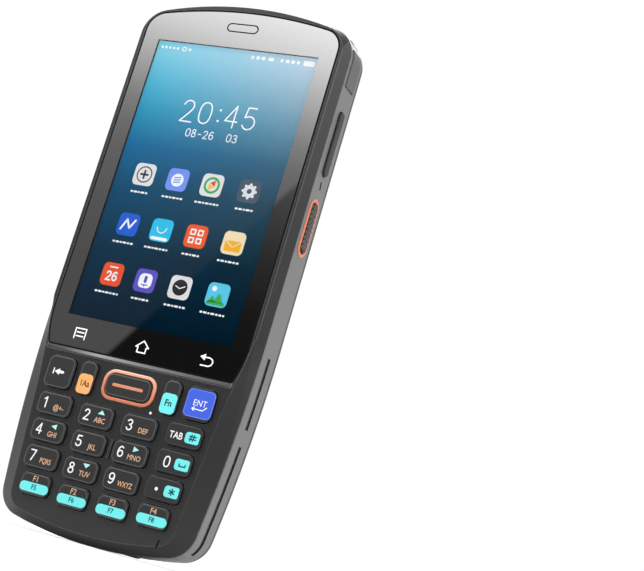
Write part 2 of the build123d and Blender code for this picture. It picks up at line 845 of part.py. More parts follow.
def camera_glass():
    rear = camera_rear - camera_recess
    glass = slab(camera_face(camera_wall), rear - camera_glass_thick, rear)
    return glass - cylinder(camera_x, flash_z, flash_diameter, band_depth, camera_rear)


def camera_lens():
    rear = camera_rear - camera_recess - camera_glass_thick
    return cylinder(camera_x, lens_z, lens_diameter, rear - lens_depth, rear)


def flash_lens():
    rear = camera_rear - camera_recess
    return cylinder(camera_x, flash_z, flash_diameter, rear - camera_glass_thick - 1.0, rear)


def speaker_unit():
    wide = hole_pitch_x * (hole_columns - 1) / 2 + speaker_margin
    high = hole_pitch_z * (hole_rows - 1) / 2 + speaker_margin
    x = -hole_x - hole_pitch_x * (hole_columns - 1) / 2
    z = hole_bottom + hole_pitch_z * (hole_rows - 1) / 2
    rear = panel_depth - shell_wall
    return block((x - wide, x + wide), (rear - speaker_thick, rear), (z - high, z + high))


# ---------------------------------------------------------------- latch and strap bar
def latch_face(x, length_x, grow=0.0):
    return Pos(x, latch_z) * SlotOverall(length_x + 2 * grow, latch_slot_height - 2 * slide_gap
                                         + 2 * grow)


def bolt_room():
    """Way for the latch bolt and the cover's catch through housing and shell."""
    far = (bolt_width + latch_travel) / 2
    top = cover_bottom + bolt_reach
    room = block((-far - slide_gap, far + slide_gap),
                 (band_depth - 1, housing_front + latch_track + slide_gap), (latch_z, top + slide_gap))
    return room + catch_box(slide_gap, band_depth - 1)


def catch_box(grow=0.0, front=catch_front):
    """The cover's catch, a separate insert that stands beside the bolt."""
    near = -(bolt_width + latch_travel) / 2 - catch_gap
    return block((near - catch_width - grow, near + grow), (front, cover_seat),
                 (cover_bottom + 0.6 - grow, cover_flat_bottom + grow))


def latch_housing():
    half = column_half - seat_gap
    face = symmetric([(half, housing_bottom), (half, housing_top)], housing_round, corners=(1,))
    body = slab(face, band_depth, housing_rear)
    slot = latch_face(0, latch_length + latch_travel, slide_gap)
    body -= slab(slot, band_depth - 1, housing_rear + 1)
    track = Pos(0, latch_z) * Rectangle(latch_length + latch_travel + 2 * latch_flange + 2 * slide_gap,
                                        latch_slot_height + 2 * latch_flange + 2 * slide_gap)
    body -= slab(track, band_depth - 1, housing_front + latch_track + slide_gap)
    return body - bolt_room()


def latch_slider():
    x = -latch_travel / 2
    flange_rear = housing_front + latch_track
    body = slab(latch_face(x, latch_length), flange_rear, housing_rear + latch_proud)
    rib_count = 5
    pitch = latch_length * 0.7 / rib_count
    for number in range(rib_count):
        rib_x = x - latch_length / 2 + pitch * (number + 0.9)
        body -= block((rib_x - pitch / 5, rib_x + pitch / 5), (housing_rear, housing_rear + 1),
                      (latch_z - latch_slot_height, latch_z + latch_slot_height))
    flange = Pos(x, latch_z) * Rectangle(latch_length + 2 * latch_flange - 2 * slide_gap,
                                         latch_slot_height + 2 * latch_flange - 2 * slide_gap)
    bolt = block((x - bolt_width / 2, x + bolt_width / 2), (band_depth + slide_gap, flange_rear),
                 (latch_z, cover_bottom + bolt_reach))
    return body + slab(flange, band_depth + slide_gap, flange_rear) + bolt


def strap_bar():
    """Curved bar across the bottom end, with a slot for a strap."""
    outer = ThreePointArc((strap_rear, strap_top), (strap_rear - 1.4, strap_top / 2.6),
                          (strap_front, strap_bottom))
    inner = ThreePointArc((strap_front, strap_bottom + strap_thick),
                          (strap_rear - 1.2 - strap_thick, strap_top / 2.6 + strap_thick / 2),
                          (strap_rear - strap_thick, strap_top))
    edges = [outer, Line(outer @ 1, inner @ 0), inner, Line(inner @ 1, outer @ 0)]
    profile = Face(Wire([e.edge() for e in edges]))
    bar = cross_slab(profile, column_half - seat_gap)
    return bar - slab(slot_face(0, strap_slot_z, *strap_slot), strap_front, strap_rear + 5)


# ---------------------------------------------------------------- inside
def battery_contacts():
    """Contact block above the battery with sprung blades that touch it."""
    wide, deep = contact_strip
    low = battery_span[1] + 0.8
    body = block((-wide / 2, wide / 2), (plate_rear, plate_rear + deep), (low, low + 3.0))
    for number in range(contact_blades):
        x = wide / contact_blades * (number - (contact_blades - 1) / 2)
        body += block((x - blade_width / 2, x + blade_width / 2), (plate_rear + 0.8, plate_rear + 1.6),
                      (battery_span[1], low))
    return body


def main_board():
    low, high = main_board_span
    return block((-main_board_half, main_board_half), (board_front, board_front + main_board_thick),
                 (low, high))


def shell_screws():
    screws = []
    heads = ((top_screw, shell_depth - screw_head_thick / 2), (well_screw, cover_seat))
    for (x, z), head_rear in heads:
        head_front = head_rear - screw_head_thick
        screw = cylinder(x, z, screw_head, head_front, head_rear)
        screw += cylinder(x, z, screw_shank, band_depth - screw_length, head_front)
        screw -= block((x - 0.9, x + 0.9), (head_rear - 0.5, head_rear + 1), (z - 0.2, z + 0.2))
        screw -= block((x - 0.2, x + 0.2), (head_rear - 0.5, head_rear + 1), (z - 0.9, z + 0.9))
        screws += [screw, other_side(screw)]
    return screws


def dock_connector():
    half = port_size[0] / 2
    body = block((-half, half), (port_depth - port_size[1] / 2, port_depth + port_size[1] / 2),
                 (band_wall / 2, band_wall / 2 + port_reach))
    tongue_gap = block((-half + 1, half - 1), (port_depth - 0.6, port_depth + 0.6), (0, band_wall))
    return body - tongue_gap


def group(solids):
    return Compound(children=[s.solid() if isinstance(s, Part) else s for s in solids])


# ---------------------------------------------------------------- write every piece
for key in keys:
    write(f"key_{key[0]}", key_cap(key))

scan_button = side_button(scan_button_z, scan_button_length, scan_button_width, ribs=9)
long_key = (long_key_z, long_key_length, long_key_width)

write("front_shell", front_shell())
write("touch_glass", touch_glass())
write("earpiece_mesh", earpiece_mesh())
write("display_module", slab(symmetric([(module_half, module_bottom), (module_half, module_top)]),
                             glass_thick, module_rear))
write("scan_key_ring", scan_key_ring())
write("keypad_mat", slab(bay_face(seat_gap), mat_front, rim_depth))
write("keypad_board", slab(bay_face(seat_gap), rim_depth, rim_depth + board_thick))
write("mid_frame", mid_frame())
write("side_scan_ring_right", side_scan_ring())
write("side_scan_ring_left", other_side(side_scan_ring()))
write("side_scan_button_right", scan_button)
write("side_scan_button_left", other_side(scan_button))
write("right_side_key", side_button(*long_key))
write("volume_rocker", other_side(side_button(*long_key, flange_gap=rocker_flange_gap)))
write("port_flap_right", port_flap())
write("port_flap_left", other_side(port_flap()))
write("upper_rear_shell", upper_rear_shell())
write("lower_rear_shell", lower_rear_shell())
write("battery_cover", group([battery_cover(), catch_box()]))
write("cover_plate", cover_plate())
write("scanner_hood", scanner_hood())
write("scanner_window", scanner_window())
write("hood_label", hood_label())
write("scan_engine", scan_engine())
write("contact_block", contact_block())
write("contact_pins", group(contact_pins()))
write("camera_bezel", camera_bezel())
write("camera_glass", camera_glass())
write("camera_lens", camera_lens())
write("flash_lens", flash_lens())
write("speaker_unit", speaker_unit())
write("latch_housing", latch_housing())
write("latch_slider", latch_slider())
write("strap_bar", strap_bar())
write("main_board", main_board())
write("battery_pack", block((-battery_half, battery_half), (plate_rear, battery_rear),
                            battery_span))
write("battery_contacts", battery_contacts())
write("shell_screws", group(shell_screws()))
write("dock_connector", dock_connector())
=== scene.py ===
"""Finishes, printed legends, screen picture, lights and camera of a handheld data terminal."""
import logging
from dataclasses import dataclass, field
from enum import Enum
from math import atan2, cos, pi, radians, sin
from typing import Callable, Optional, Sequence

import bpy
from mathutils import Matrix, Vector


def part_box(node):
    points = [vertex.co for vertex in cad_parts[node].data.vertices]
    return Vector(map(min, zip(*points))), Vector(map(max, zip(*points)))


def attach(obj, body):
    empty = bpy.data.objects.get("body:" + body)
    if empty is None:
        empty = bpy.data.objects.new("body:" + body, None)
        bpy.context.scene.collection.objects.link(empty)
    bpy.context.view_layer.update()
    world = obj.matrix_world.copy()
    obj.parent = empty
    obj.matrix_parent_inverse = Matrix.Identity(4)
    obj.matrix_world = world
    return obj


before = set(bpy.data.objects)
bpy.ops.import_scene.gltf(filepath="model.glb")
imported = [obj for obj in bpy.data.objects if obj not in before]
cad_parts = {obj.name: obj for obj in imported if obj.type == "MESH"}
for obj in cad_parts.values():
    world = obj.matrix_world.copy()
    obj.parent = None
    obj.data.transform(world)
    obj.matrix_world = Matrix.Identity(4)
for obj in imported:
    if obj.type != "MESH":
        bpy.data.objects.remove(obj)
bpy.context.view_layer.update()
MM = 0.001
PRINT_RISE = 0.02 * MM
MERGE_WITHIN = 0.001 * MM
NO_COLOUR = (0.0, 0.0, 0.0)
log = logging.getLogger("terminal")

Colour = tuple[float, float, float]
Spot = tuple[float, float]
Place = tuple[float, float, float]
Socket = bpy.types.NodeSocket
Piece = bpy.types.Object
Material = bpy.types.Material
Group = bpy.types.NodeTree


def grey(value: float) -> Colour:
    """A neutral colour."""
    return (value, value, value)


# ---- places on the terminal
class Facing(Enum):
    """Side of the terminal that a flat piece looks towards, as degrees turned about Z."""

    FRONT = 0.0
    REAR = 180.0
    RIGHT = 90.0
    LEFT = -90.0


@dataclass(frozen=True)
class Levels:
    """Depths of the cover glass's two faces, in metres, read from the frame."""

    glass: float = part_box("touch_glass")[0].y
    glass_rear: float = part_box("touch_glass")[1].y


LEVELS = Levels()


# ---- modelling helpers
def deselect() -> None:
    """Leave nothing selected, and no mesh in edit mode."""
    if bpy.context.object and bpy.context.object.mode != "OBJECT":
        bpy.ops.object.mode_set(mode="OBJECT")
    bpy.ops.object.select_all(action="DESELECT")


def edit_all() -> None:
    """Put the active object in edit mode, with its whole mesh selected."""
    bpy.ops.object.mode_set(mode="EDIT")
    bpy.ops.mesh.select_all(action="SELECT")


def settle(obj: Piece, name: str) -> Piece:
    """Put an object's place into its mesh and name it.

    Args:
        obj: the object that was just shaped, still active.
        name: the piece's name.

    Returns:
        The same object at the origin, unturned and unscaled.
    """
    bpy.ops.object.transform_apply(location=True, rotation=True, scale=True)
    obj.name = name
    obj.data.name = name
    return obj


def aim(obj: Piece, facing: Facing, place: Sequence[float], turn: float = 0.0) -> None:
    """Turn a flat object, made in the XY plane, to its side and move it to its place.

    Args:
        obj: the object.
        facing: the side it looks towards.
        place: where its middle goes, in metres.
        turn: degrees turned in its own plane, counterclockwise as seen.
    """
    base = Matrix.Rotation(radians(facing.value), 4, "Z") @ Matrix.Rotation(radians(90), 4, "X")
    obj.matrix_world = (Matrix.Translation(Vector(place)) @ base
                        @ Matrix.Rotation(radians(turn), 4, "Z"))


def thicken(move: Place) -> None:
    """Give the flat mesh in edit mode its thickness, and leave edit mode.

    Args:
        move: from its first face to its second.
    """
    bpy.ops.mesh.select_all(action="SELECT")
    bpy.ops.mesh.extrude_region_move(TRANSFORM_OT_translate={"value": move})
    bpy.ops.mesh.select_all(action="SELECT")
    bpy.ops.mesh.normals_make_consistent(inside=False)
    bpy.ops.object.mode_set(mode="OBJECT")


def plate(name: str, size: Spot, corner: float, facing: Facing, place: Sequence[float],
          thick: float = PRINT_RISE, turn: float = 0.0, taper: float = 1.0,
          segments: int = 5) -> Piece:
    """A thin plate with rounded corners.

    Args:
        name: the piece's name.
        size: width and height in metres.
        corner: corner radius in metres, 0 for sharp.
        facing: the side it looks towards.
        place: its middle, on the surface that carries it.
        thick: how far it stands out from that surface.
        turn: degrees turned in its own plane.
        taper: width of its upper edge over its lower edge.
        segments: faces in each rounded corner.

    Returns:
        The finished object.
    """
    deselect()
    bpy.ops.mesh.primitive_plane_add(size=1.0)
    obj = bpy.context.object
    obj.scale = (size[0], size[1], 1.0)
    bpy.ops.object.transform_apply(location=False, rotation=False, scale=True)
    if taper != 1.0:
        for vertex in obj.data.vertices:
            if vertex.co.y > 0:
                vertex.co.x *= taper
    edit_all()
    if corner > 0:
        bpy.ops.mesh.bevel(offset=corner, segments=segments, affect="VERTICES")
    thicken((0, 0, thick))
    aim(obj, facing, place, turn)
    return settle(obj, name)


def disc(name: str, diameter: float, facing: Facing, place: Sequence[float],
         thick: float = PRINT_RISE, hole: float = 0.0, sides: int = 32,
         turn: float = 0.0) -> Piece:
    """A thin disc, ring or regular polygon.

    Args:
        name: the piece's name.
        diameter: outer diameter in metres.
        facing: the side it looks towards.
        place: its middle.
        thick: how far it stands out.
        hole: diameter of a hole through it, 0 for none.
        sides: number of sides; 3 makes a triangle that points up.
        turn: degrees turned in its own plane.

    Returns:
        The finished object.
    """
    deselect()
    bpy.ops.mesh.primitive_circle_add(vertices=sides, radius=diameter / 2, fill_type="NGON")
    obj = bpy.context.object
    edit_all()
    if hole:
        bpy.ops.mesh.inset(thickness=(diameter - hole) / 2)
        bpy.ops.mesh.delete(type="FACE")
    thicken((0, 0, thick))
    aim(obj, facing, place, turn)
    return settle(obj, name)


def words(name: str, text: str, height: float, facing: Facing, place: Sequence[float],
          thick: float = PRINT_RISE, stretch: float = 1.0, bold: float = 0.0) -> Piece:
    """A number or a short key legend as a thin mesh.

    Args:
        name: the piece's name.
        text: what it shows.
        height: type size in metres.
        facing: the side it looks towards.
        place: its middle.
        thick: how far it stands out.
        stretch: width over the font's own width.
        bold: how much each stroke grows, in font units.

    Returns:
        The finished mesh object.
    """
    deselect()
    bpy.ops.object.text_add()
    obj = bpy.context.object
    obj.data.body = text
    obj.data.size = height
    obj.data.align_x = "CENTER"
    obj.data.align_y = "CENTER"
    obj.data.offset = bold * height
    obj.data.extrude = thick / 2
    obj.data.resolution_u = 3
    bpy.ops.object.convert(target="MESH")
    obj = bpy.context.object
    obj.scale = (stretch, 1.0, 1.0)
    bpy.ops.object.transform_apply(location=False, rotation=False, scale=True)
    aim(obj, facing, place)
    return settle(obj, name)


STROKE_CORNER = 0.45


def bar(name: str, start: Spot, end: Spot, wide: float, facing: Facing, depth: float,
        thick: float = PRINT_RISE) -> Piece:
    """A straight stroke between two points on a front or rear surface.

    Args:
        name: the piece's name.
        start: (x, z) of one end.
        end: (x, z) of the other end.
        wide: stroke width.
        facing: FRONT or REAR.
        depth: the surface's y.
        thick: how far it stands out.

    Returns:
        The finished object.
    """
    mirror = -1.0 if facing is Facing.REAR else 1.0
    run = ((end[0] - start[0]) * mirror, end[1] - start[1])
    length = (run[0] ** 2 + run[1] ** 2) ** 0.5
    middle = ((start[0] + end[0]) / 2, depth, (start[1] + end[1]) / 2)
    turn = atan2(run[1], run[0]) * 180 / pi
    return plate(name, (length + wide, wide), wide * STROKE_CORNER, facing, middle, thick, turn,
                 segments=3)


NUMERAL_WIDTH = 0.58
COLON_STEP = 0.45
COLON_X = 0.12
COLON_DOTS = (0.22, 0.72)
STROKES: dict[str, tuple[Spot, ...]] = {
    "0": ((0.29, 0.0), (0.12, 0.06), (0.03, 0.22), (0.0, 0.5), (0.03, 0.78), (0.12, 0.94),
          (0.29, 1.0), (0.46, 0.94), (0.55, 0.78), (0.58, 0.5), (0.55, 0.22), (0.46, 0.06),
          (0.29, 0.0)),
    "1": ((0.1, 0.8), (0.34, 1.0), (0.34, 0.0)),
    "2": ((0.04, 0.78), (0.1, 0.92), (0.28, 1.0), (0.46, 0.93), (0.54, 0.75), (0.48, 0.55),
          (0.02, 0.0), (0.57, 0.0)),
    "3": ((0.04, 0.84), (0.14, 0.96), (0.29, 1.0), (0.46, 0.94), (0.53, 0.77), (0.45, 0.6),
          (0.27, 0.54), (0.48, 0.46), (0.57, 0.27), (0.48, 0.07), (0.28, 0.0), (0.1, 0.05),
          (0.01, 0.2)),
    "4": ((0.42, 0.0), (0.42, 1.0), (0.0, 0.28), (0.58, 0.28)),
    "5": ((0.5, 1.0), (0.1, 1.0), (0.05, 0.54), (0.28, 0.62), (0.48, 0.54), (0.57, 0.32),
          (0.48, 0.08), (0.27, 0.0), (0.1, 0.05), (0.01, 0.18)),
    "6": ((0.5, 0.88), (0.33, 1.0), (0.15, 0.9), (0.04, 0.65), (0.01, 0.35), (0.08, 0.1),
          (0.28, 0.0), (0.48, 0.08), (0.57, 0.3), (0.48, 0.53), (0.3, 0.6), (0.12, 0.52),
          (0.03, 0.33)),
    "7": ((0.0, 1.0), (0.57, 1.0), (0.22, 0.0)),
    "8": ((0.29, 0.54), (0.12, 0.63), (0.06, 0.78), (0.12, 0.93), (0.29, 1.0), (0.46, 0.93),
          (0.52, 0.78), (0.46, 0.63), (0.29, 0.54), (0.09, 0.44), (0.01, 0.25), (0.09, 0.07),
          (0.29, 0.0), (0.49, 0.07), (0.57, 0.25), (0.49, 0.44), (0.29, 0.54)),
    "9": ((0.08, 0.12), (0.25, 0.0), (0.43, 0.1), (0.54, 0.35), (0.57, 0.65), (0.5, 0.9),
          (0.3, 1.0), (0.1, 0.92), (0.01, 0.7), (0.1, 0.47), (0.28, 0.4), (0.46, 0.48),
          (0.55, 0.67)),
    "-": ((0.1, 0.45), (0.48, 0.45)),
}


def soften(path: Sequence[Spot], sharp: float = 70.0) -> list[Vector]:
    """Cut the gentle corners of a path, and leave its sharp ones.

    Args:
        path: points; a closed path ends where it starts.
        sharp: least turn in degrees that stays a corner.

    Returns:
        The points of the smoother path.
    """
    points = [Vector(point) for point in path]
    before, after = [None, *points[:-1]], [*points[1:], None]
    if path and path[0] == path[-1]:
        before[0], after[-1] = points[-2], points[1]
    smooth: list[Vector] = []
    for last, point, coming in zip(before, points, after):
        gentle = last and coming and (point - last).angle(coming - point) < radians(sharp)
        smooth += [point.lerp(last, 0.25), point.lerp(coming, 0.25)] if gentle else [point]
    return smooth


def stagger(thick: float, index: int, step: float, cycle: int) -> float:
    """Thickness a little over its neighbours', so that crossing strokes share no face."""
    return thick * (1.0 + step * (index % cycle))


def digits(text: str, height: float, wide: float, place: Sequence[float], thick: float,
           pitch: float = 0.8) -> list[Piece]:
    """Thin numerals drawn with strokes of one width, for the front of the terminal.

    Args:
        text: digits, colons, dashes and spaces.
        height: height of a numeral.
        wide: stroke width.
        place: middle of the text.
        thick: how far it stands out.
        pitch: distance between numerals over their height.

    Returns:
        The strokes; each stands out a little more than the last, so none share a face.
    """
    steps = [COLON_STEP if sign == ":" else pitch for sign in text]
    width = (sum(steps) - (steps[-1] - NUMERAL_WIDTH)) * height
    start = place[0] - width / 2
    parts: list[Piece] = []
    for sign, step in zip(text, steps):
        if sign == ":":
            for share in COLON_DOTS:
                spot = (start + COLON_X * height, place[1], place[2] + (share - 0.5) * height)
                parts.append(disc("dot", wide * 1.7, Facing.FRONT, spot, thick))
        path = soften(STROKES.get(sign, ()))
        for first, last in zip(path, path[1:]):
            ends = [(start + x * height, place[2] + (z - 0.5) * height) for x, z in (first, last)]
            rise = stagger(thick, len(parts), 0.05, 9)
            parts.append(bar("stroke", ends[0], ends[1], wide, Facing.FRONT, place[1], rise))
        start += step * height
    return parts


def join(objects: Sequence[Piece], name: str) -> Piece:
    """Join finished objects into one piece, and keep their materials.

    Args:
        objects: the objects to join.
        name: the new piece's name.

    Returns:
        The joined object.
    """
    deselect()
    for obj in objects:
        obj.select_set(True)
    bpy.context.view_layer.objects.active = objects[0]
    if len(objects) > 1:
        bpy.ops.object.join()
    whole = bpy.context.object
    return settle(whole, name)


def dress(obj: Piece, material: Material) -> Piece:
    """Give an object one material in place of those it has.

    Args:
        obj: the object.
        material: its material.

    Returns:
        The same object.
    """
    obj.data.materials.clear()
    obj.data.materials.append(material)
    return obj


def paint(node: str, material: Material) -> None:
    """Put one material on a solid of the frame.

    Args:
        node: the solid's name.
        material: its material.
    """
    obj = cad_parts[node]
    for slot in obj.material_slots:
        slot.material = material
    if not obj.material_slots:
        obj.data.materials.append(material)
    log.info("solid %s has %s", node, material.name)


def fix_to(obj: Piece, body: str) -> Piece:
    """Let a piece ride on a body, and log which body it rides on.

    Args:
        obj: the finished piece.
        body: the body's name.

    Returns:
        The same object.
    """
    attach(obj, body)
    log.info("piece %s rides on %s", obj.name, body)
    return obj


# ---- shader node groups
class Tree:
    """Short way to add and wire nodes in one node tree."""

    def __init__(self, tree: Group) -> None:
        """Keep the tree that is filled."""
        self.tree = tree

    def add(self, kind: str, **values: object) -> bpy.types.Node:
        """Add a node.

        Args:
            kind: the node type without its ShaderNode prefix.
            values: node settings, or inputs by name with underscores for spaces.

        Returns:
            The new node.
        """
        prefix = "" if kind.startswith("Node") else "ShaderNode"
        node = self.tree.nodes.new(prefix + kind)
        for key, value in values.items():
            name = key.replace("_", " ")
            if name in node.inputs:
                node.inputs[name].default_value = value
            else:
                setattr(node, key, value)
        return node

    def wire(self, source: Socket, target: Socket) -> None:
        """Join an output to an input."""
        self.tree.links.new(source, target)

    def noise(self, **values: float) -> bpy.types.Node:
        """Noise over the object's own places, with the given inputs.

        Args:
            values: the noise's inputs by name.

        Returns:
            The noise node.
        """
        place = self.add("TexCoord")
        noise = self.add("TexNoise", **values)
        self.wire(place.outputs["Object"], noise.inputs["Vector"])
        return noise

    def axes(self, kind: str = "Object") -> bpy.types.NodeOutputs:
        """The x, y and z of a place, or of a normal, in the object's own frame.

        Args:
            kind: Object or Normal.

        Returns:
            The three values' sockets.
        """
        place = self.add("TexCoord")
        split = self.add("SeparateXYZ")
        self.wire(place.outputs[kind], split.inputs["Vector"])
        return split.outputs

    def ramp(self, source: Socket, stops: Sequence[tuple[float, Colour]]) -> Socket:
        """Colour ramp fed by a value.

        Args:
            source: the value.
            stops: places from 0 to 1 with their colours.

        Returns:
            The ramp's colour output.
        """
        node = self.add("ValToRGB")
        elements = node.color_ramp.elements
        while len(elements) < len(stops):
            elements.new(0.5)
        for element, (place, colour) in zip(elements, stops):
            element.position = place
            element.color = (*colour, 1.0)
        self.wire(source, node.inputs["Fac"])
        return node.outputs["Color"]

    def maths(self, operation: str, *terms: object) -> Socket:
        """Math node on sockets and numbers.

        Args:
            operation: Blender's name of the operation.
            terms: sockets or numbers, in order.

        Returns:
            The result's socket.
        """
        node = self.add("Math", operation=operation)
        for index, term in enumerate(terms):
            if isinstance(term, Socket):
                self.wire(term, node.inputs[index])
            else:
                node.inputs[index].default_value = float(term)
        return node.outputs[0]

    def share(self, value: Socket, low: float, high: float) -> Socket:
        """0 where a value is at its low end and 1 where it is at its high end.

        Args:
            value: the value's socket.
            low: where the result is 0.
            high: where it is 1.

        Returns:
            The result's socket.
        """
        node = self.add("MapRange", From_Min=low, From_Max=high)
        self.wire(value, node.inputs["Value"])
        return node.outputs["Result"]

    def blend(self, factor: object, first: object, second: object) -> Socket:
        """Mix two colours.

        Args:
            factor: socket or number, 0 shows the first colour.
            first: socket or colour.
            second: socket or colour.

        Returns:
            The mixed colour's socket.
        """
        node = self.add("Mix", data_type="RGBA")
        for socket, term in ((node.inputs[0], factor), (node.inputs[6], first),
                             (node.inputs[7], second)):
            if isinstance(term, Socket):
                self.wire(term, socket)
            elif isinstance(term, tuple):
                socket.default_value = (*term, 1.0)
            else:
                socket.default_value = term
        return node.outputs[2]


def new_material(name: str) -> tuple[Material, Tree, bpy.types.Node]:
    """Start a material.

    Args:
        name: the material's name.

    Returns:
        The material, its Tree and its surface shader.
    """
    material = bpy.data.materials.new(name)
    material.use_nodes = True
    tree = material.node_tree
    return material, Tree(tree), tree.nodes["Principled BSDF"]


def new_group(name: str, inputs: Sequence[tuple[str, str, float]],
              outputs: Sequence[tuple[str, str]]) -> tuple[Group, Tree, object, object]:
    """Start a shader node group.

    Args:
        name: the group's name.
        inputs: (name, socket type, default) of each input.
        outputs: (name, socket type) of each output.

    Returns:
        The group, its Tree, its input node and its output node.
    """
    group = bpy.data.node_groups.new(name, "ShaderNodeTree")
    for label, kind, default in inputs:
        socket = group.interface.new_socket(name=label, in_out="INPUT", socket_type=kind)
        socket.default_value = default
    for label, kind in outputs:
        group.interface.new_socket(name=label, in_out="OUTPUT", socket_type=kind)
    tree = Tree(group)
    return group, tree, tree.add("NodeGroupInput"), tree.add("NodeGroupOutput")


class Effects:
    """Surface effects that several finishes share."""

    edge_gain: float = 6.0
    edge_break_scale: float = 900.0

    def __init__(self) -> None:
        """Build every group once."""
        self.grain = self._grain()
        self.tone = self._tone()
        self.wear_and_glint = self._wear_and_glint()
        self.patch = self._patch()

    def _grain(self) -> Group:
        """Moulded texture: a height that varies over the surface.

        Returns:
            The node group.
        """
        value = "NodeSocketFloat"
        group, tree, source, result = new_group(
            "moulded_grain", [("Scale", value, 4000.0)], [("Height", value)])
        noise = tree.noise(Detail=2.0)
        tree.wire(source.outputs["Scale"], noise.inputs["Scale"])
        tree.wire(noise.outputs["Fac"], result.inputs["Height"])
        return group

    def _tone(self) -> Group:
        """Slow change of shade and of gloss over a moulded surface.

        Returns:
            The node group.
        """
        value = "NodeSocketFloat"
        group, tree, source, result = new_group(
            "slow_tone", [("Scale", value, 60.0), ("Amount", value, 0.1)], [("Shade", value)])
        noise = tree.noise(Detail=3.0)
        tree.wire(source.outputs["Scale"], noise.inputs["Scale"])
        centred = tree.maths("SUBTRACT", noise.outputs["Fac"], 0.5)
        scaled = tree.maths("MULTIPLY", centred, source.outputs["Amount"])
        tree.wire(tree.maths("ADD", scaled, 1.0), result.inputs["Shade"])
        return group

    def _wear_and_glint(self) -> Group:
        """Mask bright along sharp edges, broken by noise, for wear and for painted edge highlights.

        Returns:
            The node group.
        """
        value = "NodeSocketFloat"
        group, tree, source, result = new_group(
            "edge_wear_and_glint", [("Radius", value, 0.0004), ("Amount", value, 0.5)], [("Mask", value)])
        bevel = tree.add("Bevel", samples=4)
        tree.wire(source.outputs["Radius"], bevel.inputs["Radius"])
        shape = tree.add("NewGeometry")
        product = tree.add("VectorMath", operation="DOT_PRODUCT")
        tree.wire(bevel.outputs["Normal"], product.inputs[0])
        tree.wire(shape.outputs["Normal"], product.inputs[1])
        edge = tree.maths("SUBTRACT", 1.0, product.outputs["Value"])
        edge = tree.maths("MULTIPLY", edge, self.edge_gain)
        noise = tree.noise(Scale=self.edge_break_scale, Detail=2.0)
        broken = tree.maths("MULTIPLY", edge, noise.outputs["Fac"])
        masked = tree.add("Math", operation="MULTIPLY", use_clamp=True)
        tree.wire(broken, masked.inputs[0])
        tree.wire(source.outputs["Amount"], masked.inputs[1])
        tree.wire(masked.outputs[0], result.inputs["Mask"])
        return group

    def _patch(self) -> Group:
        """Mask of a rounded rectangle across x and z, for a colour moulded into a key.

        Returns:
            The node group.
        """
        value = "NodeSocketFloat"
        group, tree, source, result = new_group(
            "rounded_patch", [("X", value, 0.0), ("Z", value, 0.0), ("Half Width", value, 0.002),
                              ("Half Height", value, 0.002), ("Corner", value, 0.001)],
            [("Mask", value)])
        axes = tree.axes()
        over = []
        for axis, half in (("X", "Half Width"), ("Z", "Half Height")):
            away = tree.maths("ABSOLUTE", tree.maths("SUBTRACT", axes[axis],
                                                     source.outputs[axis]))
            inner = tree.maths("SUBTRACT", source.outputs[half], source.outputs["Corner"])
            over.append(tree.maths("MAXIMUM", tree.maths("SUBTRACT", away, inner), 0.0))
        squares = [tree.maths("MULTIPLY", term, term) for term in over]
        reach = tree.maths("SQRT", tree.maths("ADD", *squares))
        tree.wire(tree.maths("LESS_THAN", reach, source.outputs["Corner"]), result.inputs["Mask"])
        return group


# ---- finishes
GRAIN_DEPTH = 0.02 * MM
WEAR_AND_GLINT_REACH = 1.5


